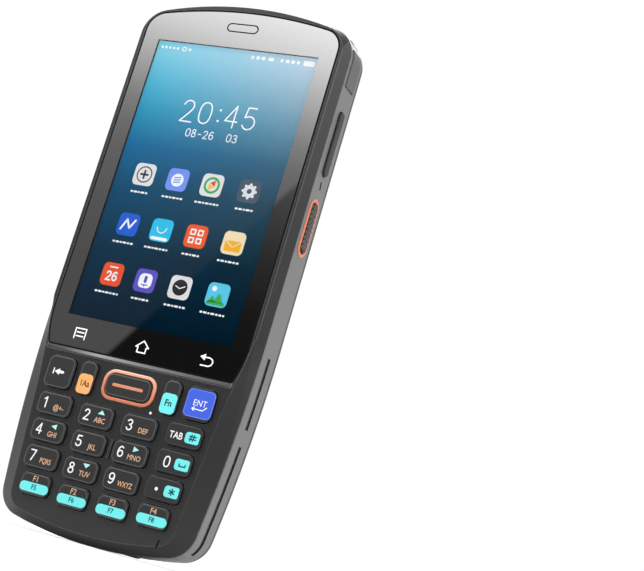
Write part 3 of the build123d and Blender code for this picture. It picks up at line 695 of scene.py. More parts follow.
@dataclass(frozen=True)
class Finish:
    """A moulded, painted or plated surface.

    The colour varies a little, the surface has a fine grain, and sharp edges are softened and
    made lighter: rubbed wear on some finishes, a painted highlight on others.
    """

    name: str
    colour: Colour
    roughness: float = 0.5
    metallic: float = 0.0
    specular: float = 0.5
    index: float = 1.5
    grain_scale: float = 5000.0
    grain: float = 0.1
    tone: float = 0.15
    tone_scale: float = 60.0
    edge_radius: float = 0.25 * MM
    wear_and_glint: float = 0.25
    wear_and_glint_colour: Colour = (0.2, 0.2, 0.2)
    coat: float = 0.0
    coat_roughness: float = 0.1
    glow: float = 0.0
    pattern: Optional[Callable[[Tree], Socket]] = None

    def build(self, effects: Effects) -> Material:
        """Make the material.

        Args:
            effects: the shared node groups.

        Returns:
            The new material.
        """
        material, tree, shader = new_material(self.name)
        shader.inputs["Metallic"].default_value = self.metallic
        shader.inputs["Specular IOR Level"].default_value = self.specular
        shader.inputs["IOR"].default_value = self.index
        shader.inputs["Coat Weight"].default_value = self.coat
        shader.inputs["Coat Roughness"].default_value = self.coat_roughness
        colour = self.pattern(tree) if self.pattern else self.colour
        tone = tree.add("Group", node_tree=effects.tone)
        tone.inputs["Scale"].default_value = self.tone_scale
        tone.inputs["Amount"].default_value = self.tone
        shade = tree.add("VectorMath", operation="SCALE")
        if isinstance(colour, tuple):
            shade.inputs[0].default_value = colour
        else:
            tree.wire(colour, shade.inputs[0])
        tree.wire(tone.outputs["Shade"], shade.inputs["Scale"])
        edged_colour = shade.outputs["Vector"]
        # Lighter sharp edges: rubbed wear on some finishes, a painted highlight on the front, hood,
        # keys and copper ring.
        if self.wear_and_glint:
            wear_and_glint = tree.add("Group", node_tree=effects.wear_and_glint)
            wear_and_glint.inputs["Radius"].default_value = self.edge_radius * WEAR_AND_GLINT_REACH
            wear_and_glint.inputs["Amount"].default_value = self.wear_and_glint
            edged_colour = tree.blend(wear_and_glint.outputs["Mask"], edged_colour, self.wear_and_glint_colour)
        tree.wire(edged_colour, shader.inputs["Base Color"])
        shader.inputs["Roughness"].default_value = self.roughness
        if self.tone:
            tree.wire(tree.maths("MULTIPLY", tone.outputs["Shade"], self.roughness),
                      shader.inputs["Roughness"])
        if self.grain:
            grain = tree.add("Group", node_tree=effects.grain)
            grain.inputs["Scale"].default_value = self.grain_scale
            bump = tree.add("Bump", Strength=self.grain, Distance=GRAIN_DEPTH)
            tree.wire(grain.outputs["Height"], bump.inputs["Height"])
            if self.edge_radius:
                edge = tree.add("Bevel", samples=6, Radius=self.edge_radius)
                tree.wire(edge.outputs["Normal"], bump.inputs["Normal"])
            tree.wire(bump.outputs["Normal"], shader.inputs["Normal"])
        if self.glow:
            tree.wire(edged_colour, shader.inputs["Emission Color"])
            shader.inputs["Emission Strength"].default_value = self.glow
        return material


@dataclass(frozen=True)
class ClearGlass:
    """Polished clear cover glass with a faint trace of wiping."""

    name: str = "cover_glass"
    smear: float = 0.02
    smear_scale: float = 40.0
    index: float = 1.25

    def build(self) -> Material:
        """Make the material.

        Returns:
            The new material.
        """
        material, tree, shader = new_material(self.name)
        shader.inputs["Roughness"].default_value = 0.0
        shader.inputs["Transmission Weight"].default_value = 1.0
        shader.inputs["IOR"].default_value = self.index
        noise = tree.noise(Scale=self.smear_scale, Detail=4.0)
        wiped = tree.ramp(noise.outputs["Fac"], [(0.3, grey(1.0 - self.smear)), (0.7, grey(1.0))])
        tree.wire(wiped, shader.inputs["Base Color"])
        return material


def height_share(tree: Tree, low: float, high: float, axis: int = 2) -> Socket:
    """0 at a low and 1 at a high place along one axis, in metres.

    Args:
        tree: the tree to add to.
        low: where the result is 0.
        high: where it is 1.
        axis: 0, 1 or 2 for x, y or z.

    Returns:
        The value's socket.
    """
    return tree.share(tree.axes()[axis], low, high)


@dataclass(frozen=True)
class Picture:
    """Sizes of the lit display, in metres."""

    half: float = 26 * MM
    low: float = 59.5 * MM
    high: float = 144.7 * MM

    def wallpaper(self, tree: Tree) -> Socket:
        """Blue field, palest at the top right and nearly black at the bottom.

        Args:
            tree: the tree to add to.

        Returns:
            The colour's socket.
        """
        up = height_share(tree, self.low, self.high)
        across = height_share(tree, -self.half, self.half, axis=0)
        left = tree.ramp(up, [(0.02, (0.0002, 0.0064, 0.015)), (0.25, (0.0003, 0.015, 0.035)),
                              (0.48, (0.0005, 0.038, 0.085)), (0.62, (0.0006, 0.073, 0.17)),
                              (0.75, (0.005, 0.157, 0.256)), (0.85, (0.023, 0.226, 0.328)),
                              (0.97, (0.084, 0.3, 0.385))])
        right = tree.ramp(up, [(0.02, (0.0002, 0.005, 0.011)), (0.25, (0.0018, 0.0106, 0.02)),
                               (0.48, (0.009, 0.033, 0.052)), (0.62, (0.019, 0.064, 0.107)),
                               (0.75, (0.063, 0.147, 0.202)), (0.85, (0.134, 0.211, 0.268)),
                               (0.97, (0.222, 0.3, 0.365))])
        return tree.blend(across, left, right)


@dataclass(frozen=True)
class Area:
    """A rounded rectangle across x and z, in metres."""

    x: float
    z: float
    half: Spot
    corner: float

    def inset(self, by: float) -> "Area":
        """The same area with its edge drawn in."""
        return Area(self.x, self.z, (self.half[0] - by, self.half[1] - by), self.corner - by)

    def mask(self, tree: Tree, effects: Effects) -> Socket:
        """Mask that is 1 inside the area.

        Args:
            tree: the tree to add to.
            effects: the shared node groups.

        Returns:
            The mask's socket.
        """
        patch = tree.add("Group", node_tree=effects.patch)
        for label, value in (("X", self.x), ("Z", self.z), ("Half Width", self.half[0]),
                             ("Half Height", self.half[1]), ("Corner", self.corner)):
            patch.inputs[label].default_value = value
        return patch.outputs["Mask"]


class Finishes:
    """Every material of the terminal, by name."""

    cyan: Colour = (0.13, 0.68, 0.67)
    amber: Colour = (0.8, 0.35, 0.11)
    slate: Colour = (0.009, 0.009, 0.0095)
    band_grey: Colour = (0.14, 0.14, 0.142)
    cover_grey: Colour = (0.036, 0.0365, 0.0375)
    hood_grey: Colour = (0.02, 0.0203, 0.021)
    # Band along the keypad's ledge where a highlight is painted.
    ledge_highlight: Area = Area(-0.6 * MM, 49.7 * MM, (30.2 * MM, 0.5 * MM), 0.1 * MM)
    slant_x: float = 32.2 * MM
    slot_spans: tuple[Spot, ...] = ((4.9 * MM, 35.4 * MM), (39.9 * MM, 60.1 * MM))
    # Paler rim round each key's top and lighter key edges: painted highlights on the rounded edges.
    rim_highlight_colour: Colour = (0.06, 0.058, 0.055)
    rim_highlight_width: float = 0.22 * MM
    key_edge: float = 0.22 * MM
    key_edge_glint: Colour = (0.3, 0.29, 0.27)
    inks: tuple[tuple[str, Colour, float, float], ...] = (
        ("ink_white", (0.76, 0.76, 0.76), 0.5, 0.5),
        ("ink_sand", (0.56, 0.32, 0.19), 0.5, 0.5),
        ("ink_ice", (0.34, 0.7, 0.66), 0.45, 0.5),
        ("ink_brown", (0.1, 0.035, 0.012), 0.5, 0.1),
        ("ink_teal", (0.003, 0.07, 0.075), 0.5, 0.1),
        ("ink_grey", (0.2, 0.201, 0.205), 0.45, 0.5))

    def __init__(self, effects: Effects) -> None:
        """Build all the finishes.

        Args:
            effects: the shared node groups.
        """
        self.effects = effects
        self.made: dict[str, Material] = {}
        # The lighter edges of front_plastic, hood_plastic, key_plastic and copper_ring are painted
        # highlights.
        shades = [
            Finish("front_plastic", (0.01, 0.0101, 0.0106), 0.42, specular=0.26, grain=0.12,
                   wear_and_glint=0.9, wear_and_glint_colour=(0.2, 0.2, 0.205), pattern=self.front_tone_and_highlights),
            Finish("band_plastic", self.band_grey, 0.4, specular=0.4, grain=0.15, wear_and_glint=0.4,
                   wear_and_glint_colour=grey(0.3), pattern=self.band_slot_shade),
            Finish("rear_plastic", (0.034, 0.0345, 0.0355), 0.46, specular=0.35, grain=0.25,
                   grain_scale=4200.0, wear_and_glint=0.35, wear_and_glint_colour=(0.14, 0.14, 0.145)),
            Finish("cover_plastic", self.cover_grey, 0.46, specular=0.35, grain=0.25,
                   grain_scale=4200.0, wear_and_glint=0.35, wear_and_glint_colour=(0.14, 0.14, 0.145),
                   pattern=self.cover_slope_highlight),
            Finish("hood_plastic", self.hood_grey, 0.36, specular=0.4, grain=0.12, wear_and_glint=0.9,
                   wear_and_glint_colour=grey(0.5), edge_radius=0.4 * MM, pattern=self.hood_underside_shade),
            Finish("block_plastic", (0.028, 0.0283, 0.029), 0.42, specular=0.35, grain=0.15,
                   wear_and_glint=0.8, wear_and_glint_colour=grey(0.2), edge_radius=0.2 * MM),
            Finish("dark_plastic", (0.014, 0.014, 0.0145), 0.42, specular=0.3, grain=0.15,
                   wear_and_glint=0.4, wear_and_glint_colour=grey(0.12)),
            Finish("key_plastic", self.slate, 0.4, specular=0.35, grain=0.08, wear_and_glint=0.9,
                   wear_and_glint_colour=self.key_edge_glint, edge_radius=self.key_edge),
            Finish("orange_plastic", (0.62, 0.15, 0.05), 0.32, grain=0.05, wear_and_glint=0.5,
                   wear_and_glint_colour=(1.0, 0.5, 0.3), coat=0.3),
            Finish("copper_ring", (0.62, 0.19, 0.085), 0.3, 0.2, grain=0.05, wear_and_glint=1.0,
                   wear_and_glint_colour=(0.95, 0.55, 0.38), coat=0.3, pattern=self.copper_sheen),
            Finish("bar_plastic", (0.15, 0.151, 0.155), 0.38, specular=0.4, grain=0.15, wear_and_glint=0.4,
                   wear_and_glint_colour=(0.4, 0.4, 0.41)),
            Finish("oval_plate", (0.095, 0.096, 0.098), 0.42, specular=0.35, grain=0.12, wear_and_glint=0.3,
                   wear_and_glint_colour=grey(0.2)),
            Finish("flap_rubber", (0.1, 0.101, 0.103), 0.55, specular=0.3, grain=0.25, wear_and_glint=0.2,
                   wear_and_glint_colour=grey(0.2)),
            Finish("bezel_metal", (0.03, 0.03, 0.031), 0.3, 0.3, wear_and_glint=0.6, grain=0.05,
                   wear_and_glint_colour=grey(0.3)),
            Finish("plated_pad", (0.9, 0.86, 0.76), 0.35, 0.15, grain=0.05, wear_and_glint=0.2,
                   wear_and_glint_colour=(1.0, 0.97, 0.9)),
            Finish("steel", (0.3, 0.3, 0.31), 0.35, 1.0, grain=0.1, wear_and_glint=0.3,
                   wear_and_glint_colour=grey(0.6)),
            Finish("earpiece_fabric", (0.02, 0.02, 0.021), 0.12, index=1.9, grain=0.05,
                   grain_scale=9000.0, wear_and_glint=0.0, edge_radius=0.0),
            Finish("circuit_board", (0.01, 0.08, 0.03), 0.4, grain=0.2, wear_and_glint=0.0),
            Finish("silicone", (0.04, 0.04, 0.042), 0.6, grain=0.2, wear_and_glint=0.0),
            Finish("battery_wrap", (0.02, 0.02, 0.022), 0.45, grain=0.1, wear_and_glint=0.2),
            Finish("window_gloss", (0.006, 0.006, 0.008), 0.06, grain=0.0, wear_and_glint=0.0, coat=0.5,
                   coat_roughness=0.02),
            Finish("lens_gloss", (0.002, 0.002, 0.0024), 0.06, specular=0.22, grain=0.0, wear_and_glint=0.0,
                   edge_radius=0.0),
            Finish("border_gloss", (0.0025, 0.0025, 0.0028), 0.015, index=1.9, grain=0.0, wear_and_glint=0.0,
                   edge_radius=0.0),
            Finish("flash_diffuser", (0.85, 0.84, 0.76), 0.35, grain=0.3, grain_scale=3000.0,
                   wear_and_glint=0.0),
            Finish("glass_print", (0.002, 0.002, 0.0022), 0.5, specular=0.1, grain=0.02, wear_and_glint=0.0,
                   edge_radius=0.0),
            Finish("shadow_line", (0.002, 0.002, 0.002), 0.7, specular=0.1, grain=0.1, wear_and_glint=0.0,
                   edge_radius=0.0),
            Finish("ring_pale", (0.45, 0.45, 0.46), 0.3, 0.4, grain=0.05, wear_and_glint=0.0,
                   edge_radius=0.0),
            Finish("lens_tint", (0.02, 0.022, 0.03), 0.1, grain=0.0, wear_and_glint=0.0, coat=1.0,
                   coat_roughness=0.02, edge_radius=0.05 * MM),
        ]
        shades += [Finish(name, colour, roughness, specular=specular, grain=0.05, wear_and_glint=0.0,
                          edge_radius=0.0)
                   for name, colour, roughness, specular in self.inks]
        for finish in shades:
            self.made[finish.name] = finish.build(effects)
        self.made["cover_glass"] = ClearGlass().build()
        self.made["screen_picture"] = Finish(
            "screen_picture", self.slate, 0.4, specular=0.0, grain=0.0, tone=0.0, wear_and_glint=0.0,
            glow=1.0, pattern=Picture().wallpaper, edge_radius=0.0).build(effects)

    def band_slot_shade(self, tree: Tree) -> Socket:
        """Grey band with painted shade, nearly black inside its long side slots.

        Args:
            tree: the tree to add to.

        Returns:
            The colour's socket.
        """
        middle, field_half, slot_share = -7.25 * MM, 4.5 * MM, 0.1
        deep = height_share(tree, middle - field_half, middle + field_half, axis=1)
        inside = tree.maths("COMPARE", deep, 0.5, slot_share)
        reach = 100 * MM
        spans = [tree.maths("COMPARE", height_share(tree, 0.0, reach), (low + high) / (2 * reach),
                            (high - low) / (2 * reach))
                 for low, high in self.slot_spans]
        # Painted shade: the slots are darkened to nearly black.
        mask = tree.maths("MULTIPLY", inside, tree.maths("MAXIMUM", *spans))
        return tree.blend(mask, self.band_grey, grey(0.006))

    def cover_slope_highlight(self, tree: Tree) -> Socket:
        """Dark grey cover with a lighter sloping edge at its foot, a painted highlight on faces
        that look down.
        """
        # Painted highlight: faces that look down are painted lighter.
        mask = tree.maths("LESS_THAN", self.upward(tree), -0.12)
        return tree.blend(mask, self.cover_grey, (0.11, 0.111, 0.113))

    def hood_underside_shade(self, tree: Tree) -> Socket:
        """Dark grey hood with a black underside, a painted shadow on faces that look down."""
        # Painted shadow under the hood.
        mask = tree.maths("LESS_THAN", self.upward(tree), -0.3)
        return tree.blend(mask, self.hood_grey, grey(0.003))

    def copper_sheen(self, tree: Tree) -> Socket:
        """Copper with a painted sheen, paler at its top and where it looks up.

        Args:
            tree: the tree to add to.

        Returns:
            The colour's socket.
        """
        low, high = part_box("scan_key_ring")
        rise = tree.maths("MULTIPLY_ADD", height_share(tree, low.z, high.z), 0.6, 0.2)
        turn = tree.maths("MULTIPLY_ADD", self.upward(tree), 0.25, rise)
        return tree.ramp(turn, [(0.0, (0.4, 0.1, 0.04)), (0.45, (0.64, 0.19, 0.085)),
                                (0.85, (0.85, 0.45, 0.32))])

    def front_tone_and_highlights(self, tree: Tree) -> Socket:
        """Black front, greyer at its foot, with painted highlights on its slanting right side and
        the keypad's ledge.

        Args:
            tree: the tree to add to.

        Returns:
            The colour's socket.
        """
        base = tree.ramp(height_share(tree, 0.0, 30 * MM),
                         [(0.1, (0.024, 0.024, 0.0245)), (0.4, (0.016, 0.016, 0.0165)),
                          (1.0, (0.01, 0.0101, 0.0106))])
        # Painted highlight along the keypad's ledge, brightest left of the middle.
        across = height_share(tree, -31 * MM, 31 * MM, axis=0)
        ledge_glint = tree.ramp(across, [(0.0, grey(0.025)), (0.12, grey(0.06)), (0.3, grey(0.28)),
                                  (0.6, grey(0.14)), (1.0, grey(0.05))])
        base = tree.blend(self.ledge_highlight.mask(tree, self.effects), base, ledge_glint)
        # Painted sheen on the slanting right side, lighter towards the top.
        reach = 40 * MM
        side = height_share(tree, -reach, reach, axis=0)
        right = tree.maths("GREATER_THAN", side, 0.5 + self.slant_x / (2 * reach))
        slant_sheen = tree.ramp(height_share(tree, 40 * MM, 156 * MM),
                          [(0.0, (0.012, 0.012, 0.0125)), (0.5, (0.026, 0.026, 0.0265)),
                           (1.0, (0.06, 0.06, 0.061))])
        return tree.blend(right, base, slant_sheen)

    @staticmethod
    def upward(tree: Tree) -> Socket:
        """How far a face looks up: 1 for a top face, -1 for an underside."""
        return tree.axes("Normal")["Z"]

    def __getitem__(self, name: str) -> Material:
        """The material of that name."""
        return self.made[name]

    def lit(self, name: str, colour: Colour, strength: float = 0.12) -> Material:
        """A lit colour on the screen, made once.

        Args:
            name: the finish's name.
            colour: the colour that it shows.
            strength: how brightly it glows.

        Returns:
            The material.
        """
        if name not in self.made:
            finish = Finish(name, colour, 0.5, specular=0.1, grain=0.0, tone=0.06,
                            tone_scale=300.0, wear_and_glint=0.0, glow=strength, edge_radius=0.0)
            self.made[name] = finish.build(self.effects)
        return self.made[name]

    def cap(self, name: str, outline: Area, area: Optional[Area] = None,
            ink: Colour = NO_COLOUR, rim: Optional[Colour] = None) -> Material:
        """A black key with a thin paler rim of painted highlight, and perhaps a coloured area
        moulded into it.

        Args:
            name: the material's name.
            outline: the painted highlight rim's outer edge.
            area: the coloured area, or None.
            ink: its colour.
            rim: the painted highlight rim's colour, or None for the usual one.

        Returns:
            The material.
        """
        def pattern(tree: Tree) -> Socket:
            """Black, then the ink and the painted highlight rim; a rim of its own colour comes
            last.

            Args:
                tree: the tree to add to.

            Returns:
                The colour's socket.
            """
            inner = outline.inset(self.rim_highlight_width).mask(tree, self.effects)
            edge = tree.maths("SUBTRACT", outline.mask(tree, self.effects), inner)
            layers = [(edge, rim or self.rim_highlight_colour)]
            if area:
                layers.insert(0 if rim else 1, (area.mask(tree, self.effects), ink))
            colour: object = self.slate
            for mask, tint in layers:
                colour = tree.blend(mask, colour, tint)
            return colour

        finish = Finish(name, self.slate, 0.4, specular=0.35, grain=0.08,
                        wear_and_glint=0.1 if rim else 0.7, wear_and_glint_colour=self.key_edge_glint,
                        edge_radius=self.key_edge, pattern=pattern)
        return finish.build(self.effects)


# ---- casing and hardware
@dataclass
class Casing:
    """Gives the solids of the frame their finishes."""

    finishes: Finishes
    plan: dict[str, tuple[str, ...]] = field(default_factory=lambda: {
        "front_plastic": ("front_shell",),
        "band_plastic": ("mid_frame",),
        "rear_plastic": ("upper_rear_shell", "lower_rear_shell", "latch_housing"),
        "cover_plastic": ("battery_cover",),
        "hood_plastic": ("scanner_hood",),
        "block_plastic": ("contact_block",),
        "dark_plastic": ("latch_slider",),
        "bar_plastic": ("strap_bar",),
        "oval_plate": ("cover_plate",),
        "key_plastic": ("side_scan_button_left", "side_scan_button_right", "volume_rocker",
                        "right_side_key"),
        "orange_plastic": ("side_scan_ring_left", "side_scan_ring_right"),
        "copper_ring": ("scan_key_ring",),
        "flap_rubber": ("port_flap_left", "port_flap_right"),
        "cover_glass": ("touch_glass",),
        "window_gloss": ("scanner_window",),
        "lens_gloss": ("camera_glass", "camera_lens"),
        "bezel_metal": ("camera_bezel",),
        "flash_diffuser": ("flash_lens",),
        "plated_pad": ("contact_pins", "battery_contacts"),
        "steel": ("dock_connector", "scan_engine", "speaker_unit"),
        "earpiece_fabric": ("earpiece_mesh",),
        "circuit_board": ("main_board", "keypad_board"),
        "silicone": ("keypad_mat",),
        "battery_wrap": ("battery_pack",),
        # The shell screws are black as a painted shadow, standing for dark screw holes.
        "shadow_line": ("display_module", "shell_screws"),
    })

    def build(self) -> None:
        """Assign every finish of the plan; the keys and the label come later."""
        for finish, nodes in self.plan.items():
            for node in nodes:
                paint(node, self.finishes[finish])


# ---- screen
class Glyph(Enum):
    """Plain marks that stand on the screen's icons."""

    RING = "ring"
    BUBBLE = "bubble"
    GLOBE = "globe"
    GEAR = "gear"
    CHART = "chart"
    BAG = "bag"
    GRID = "grid"
    LETTER = "letter"
    DAY = "day"
    VOICE = "voice"
    CLOCK = "clock"
    HILLS = "hills"


PALETTE: dict[str, Colour] = {
    "white": (0.86, 0.88, 0.9), "ledge_glint": (0.72, 0.72, 0.73), "ink": (0.02, 0.02, 0.022),
    "violet": (0.16, 0.28, 0.82), "slate": (0.06, 0.09, 0.13), "royal": (0.01, 0.1, 0.6),
    "aqua": (0.02, 0.5, 0.78), "orange": (0.8, 0.1, 0.015), "cream": (0.82, 0.7, 0.45),
    "coral": (0.76, 0.08, 0.02), "iris": (0.1, 0.08, 0.5), "sky": (0.1, 0.55, 0.78),
    "leaf": (0.05, 0.42, 0.09), "gold": (0.85, 0.5, 0.03), "honey": (0.85, 0.42, 0.02)}


@dataclass(frozen=True)
class IconMark:
    """The plain mark on one icon; its sizes and places are in millimetres from the middle."""

    screen: "Screen"
    x: float
    z: float

    def draw(self, glyph: Glyph) -> list[Piece]:
        """Draw a mark.

        Args:
            glyph: which mark.

        Returns:
            The mark's parts, each with its colour.
        """
        makers = {Glyph.RING: self.ring, Glyph.BUBBLE: self.bubble, Glyph.GLOBE: self.globe,
                  Glyph.GEAR: self.gear, Glyph.CHART: self.chart, Glyph.BAG: self.bag,
                  Glyph.GRID: self.grid, Glyph.LETTER: self.letter, Glyph.DAY: self.day,
                  Glyph.VOICE: self.voice, Glyph.CLOCK: self.clock, Glyph.HILLS: self.hills}
        return makers[glyph]()

    def at(self, dx: float, dz: float) -> Spot:
        """Place on the picture, in metres."""
        return (self.x + dx * MM, self.z + dz * MM)

    def dot(self, wide: float, dx: float = 0.0, dz: float = 0.0, level: int = 3,
            hole: float = 0.0, sides: int = 32, turn: float = 0.0) -> Piece:
        """A round or regular mark."""
        return self.screen.dot(wide * MM, *self.at(dx, dz), level, hole * MM, sides, turn)

    def box(self, wide: float, high: float, corner: float, dx: float = 0.0, dz: float = 0.0,
            level: int = 3) -> Piece:
        """A rounded rectangle."""
        return self.screen.flat((wide * MM, high * MM), corner * MM, *self.at(dx, dz), level)

    def lines(self, points: Sequence[Spot], wide: float, level: int = 3) -> list[Piece]:
        """Strokes from point to point."""
        return [self.screen.line(self.at(*a), self.at(*b), wide * MM, level)
                for a, b in zip(points, points[1:])]

    def ring(self) -> list[Piece]:
        """A ring with a cross in it.

        Returns:
            The parts.
        """
        cross = self.lines([(-1.1, 0.0), (1.1, 0.0)], 0.6)
        cross += self.lines([(0.0, -1.1), (0.0, 1.1)], 0.6, 4)
        return self.screen.tint([self.dot(5.0, hole=4.3), *cross], "ink")

    def bubble(self) -> list[Piece]:
        """A disc with three slanting lines.

        Returns:
            The parts.
        """
        lines = [self.lines([(-1.0, dz), (0.9, dz + 0.3)], 0.35, 4)[0] for dz in (-0.9, -0.2, 0.5)]
        return (self.screen.tint([self.dot(3.9, 0.0, -0.1)], "white")
                + self.screen.tint(lines, "violet"))

    def globe(self) -> list[Piece]:
        """A ring round two pointers.

        Returns:
            The parts.
        """
        north = self.dot(2.2, 0.4, 0.6, 4, sides=3, turn=-30)
        south = self.dot(2.2, -0.4, -0.6, 4, sides=3, turn=150)
        return (self.screen.tint([self.dot(5.0, hole=3.6)], "leaf")
                + self.screen.tint([north], "coral") + self.screen.tint([south], "gold"))

    def gear(self) -> list[Piece]:
        """A ring with eight teeth.

        Returns:
            The parts.
        """
        teeth = []
        for a in (pi * n / 4 for n in range(8)):
            teeth += self.lines([(r * cos(a), r * sin(a)) for r in (1.5, 2.0)], 0.75)
        return self.screen.tint([self.dot(3.7, hole=1.5), *teeth], "white")

    def chart(self) -> list[Piece]:
        """A line that goes up, down and up."""
        path = [(-2.1, -1.6), (-0.7, 1.5), (0.6, -1.0), (2.0, 1.5)]
        return self.screen.tint(self.lines(path, 0.6), "white")

    def bag(self) -> list[Piece]:
        """A curved handle over a foot.

        Returns:
            The parts.
        """
        arc = [(1.5 * cos(a), 0.7 + 1.5 * sin(a)) for a in (pi + pi * n / 6 for n in range(7))]
        foot = self.box(5.36, 0.9, 0.4, 0.0, -2.5)
        return self.screen.tint([*self.lines(arc, 0.35), foot], "white")

    def grid(self) -> list[Piece]:
        """Four squares, each with a hole.

        Returns:
            The parts.
        """
        places = [(dx, dz) for dx in (-1.2, 1.2) for dz in (-1.2, 1.2)]
        cells = [self.box(1.8, 1.8, 0.2, *place) for place in places]
        holes = [self.box(0.9, 0.9, 0.1, *place, 4) for place in places]
        return self.screen.tint(cells, "white") + self.screen.tint(holes, "orange")

    def letter(self) -> list[Piece]:
        """A sheet with its fold.

        Returns:
            The parts.
        """
        fold = self.lines([(-2.3, 0.5), (0.0, -1.2), (2.3, 0.5)], 0.35, 4)
        return (self.screen.tint([self.box(5.0, 3.0, 0.3, 0.0, -0.9)], "honey")
                + self.screen.tint(fold, "cream"))

    def day(self) -> list[Piece]:
        """A day's number below a line.

        Returns:
            The parts.
        """
        number = digits("26", 2.5 * MM, 0.45 * MM, (self.x, self.screen.depth(3),
                                                    self.z - 0.5 * MM), self.screen.thin)
        return self.screen.tint([*number, *self.lines([(-1.2, 2.1), (1.2, 2.1)], 0.4)], "white")

    def voice(self) -> list[Piece]:
        """A card with a microphone.

        Returns:
            The parts.
        """
        stem = [*self.lines([(0.0, 1.0), (0.0, -0.2)], 0.9, 4),
                *self.lines([(-0.9, -1.2), (0.9, -1.2)], 0.3, 4),
                *self.lines([(0.0, -1.2), (0.0, -1.6)], 0.3, 4)]
        return (self.screen.tint([self.box(4.2, 4.2, 1.4)], "white")
                + self.screen.tint(stem, "iris"))

    def clock(self) -> list[Piece]:
        """A round face with two hands."""
        hands = self.lines([(-1.4, 0.3), (0.0, -0.3), (1.5, 0.5)], 0.28, 4)
        return self.screen.tint([self.dot(4.6)], "ink") + self.screen.tint(hands, "white")

    def hills(self) -> list[Piece]:
        """Two hills below a small sun.

        Returns:
            The parts.
        """
        land = [self.dot(3.6, 0.6, -1.2, sides=3), self.dot(2.6, -1.3, -1.6, sides=3),
                self.box(5.494, 1.0, 0.5, 0.0, -2.4)]
        return (self.screen.tint([self.dot(1.5, -1.4, 1.6)], "white")
                + self.screen.tint(land, "leaf"))


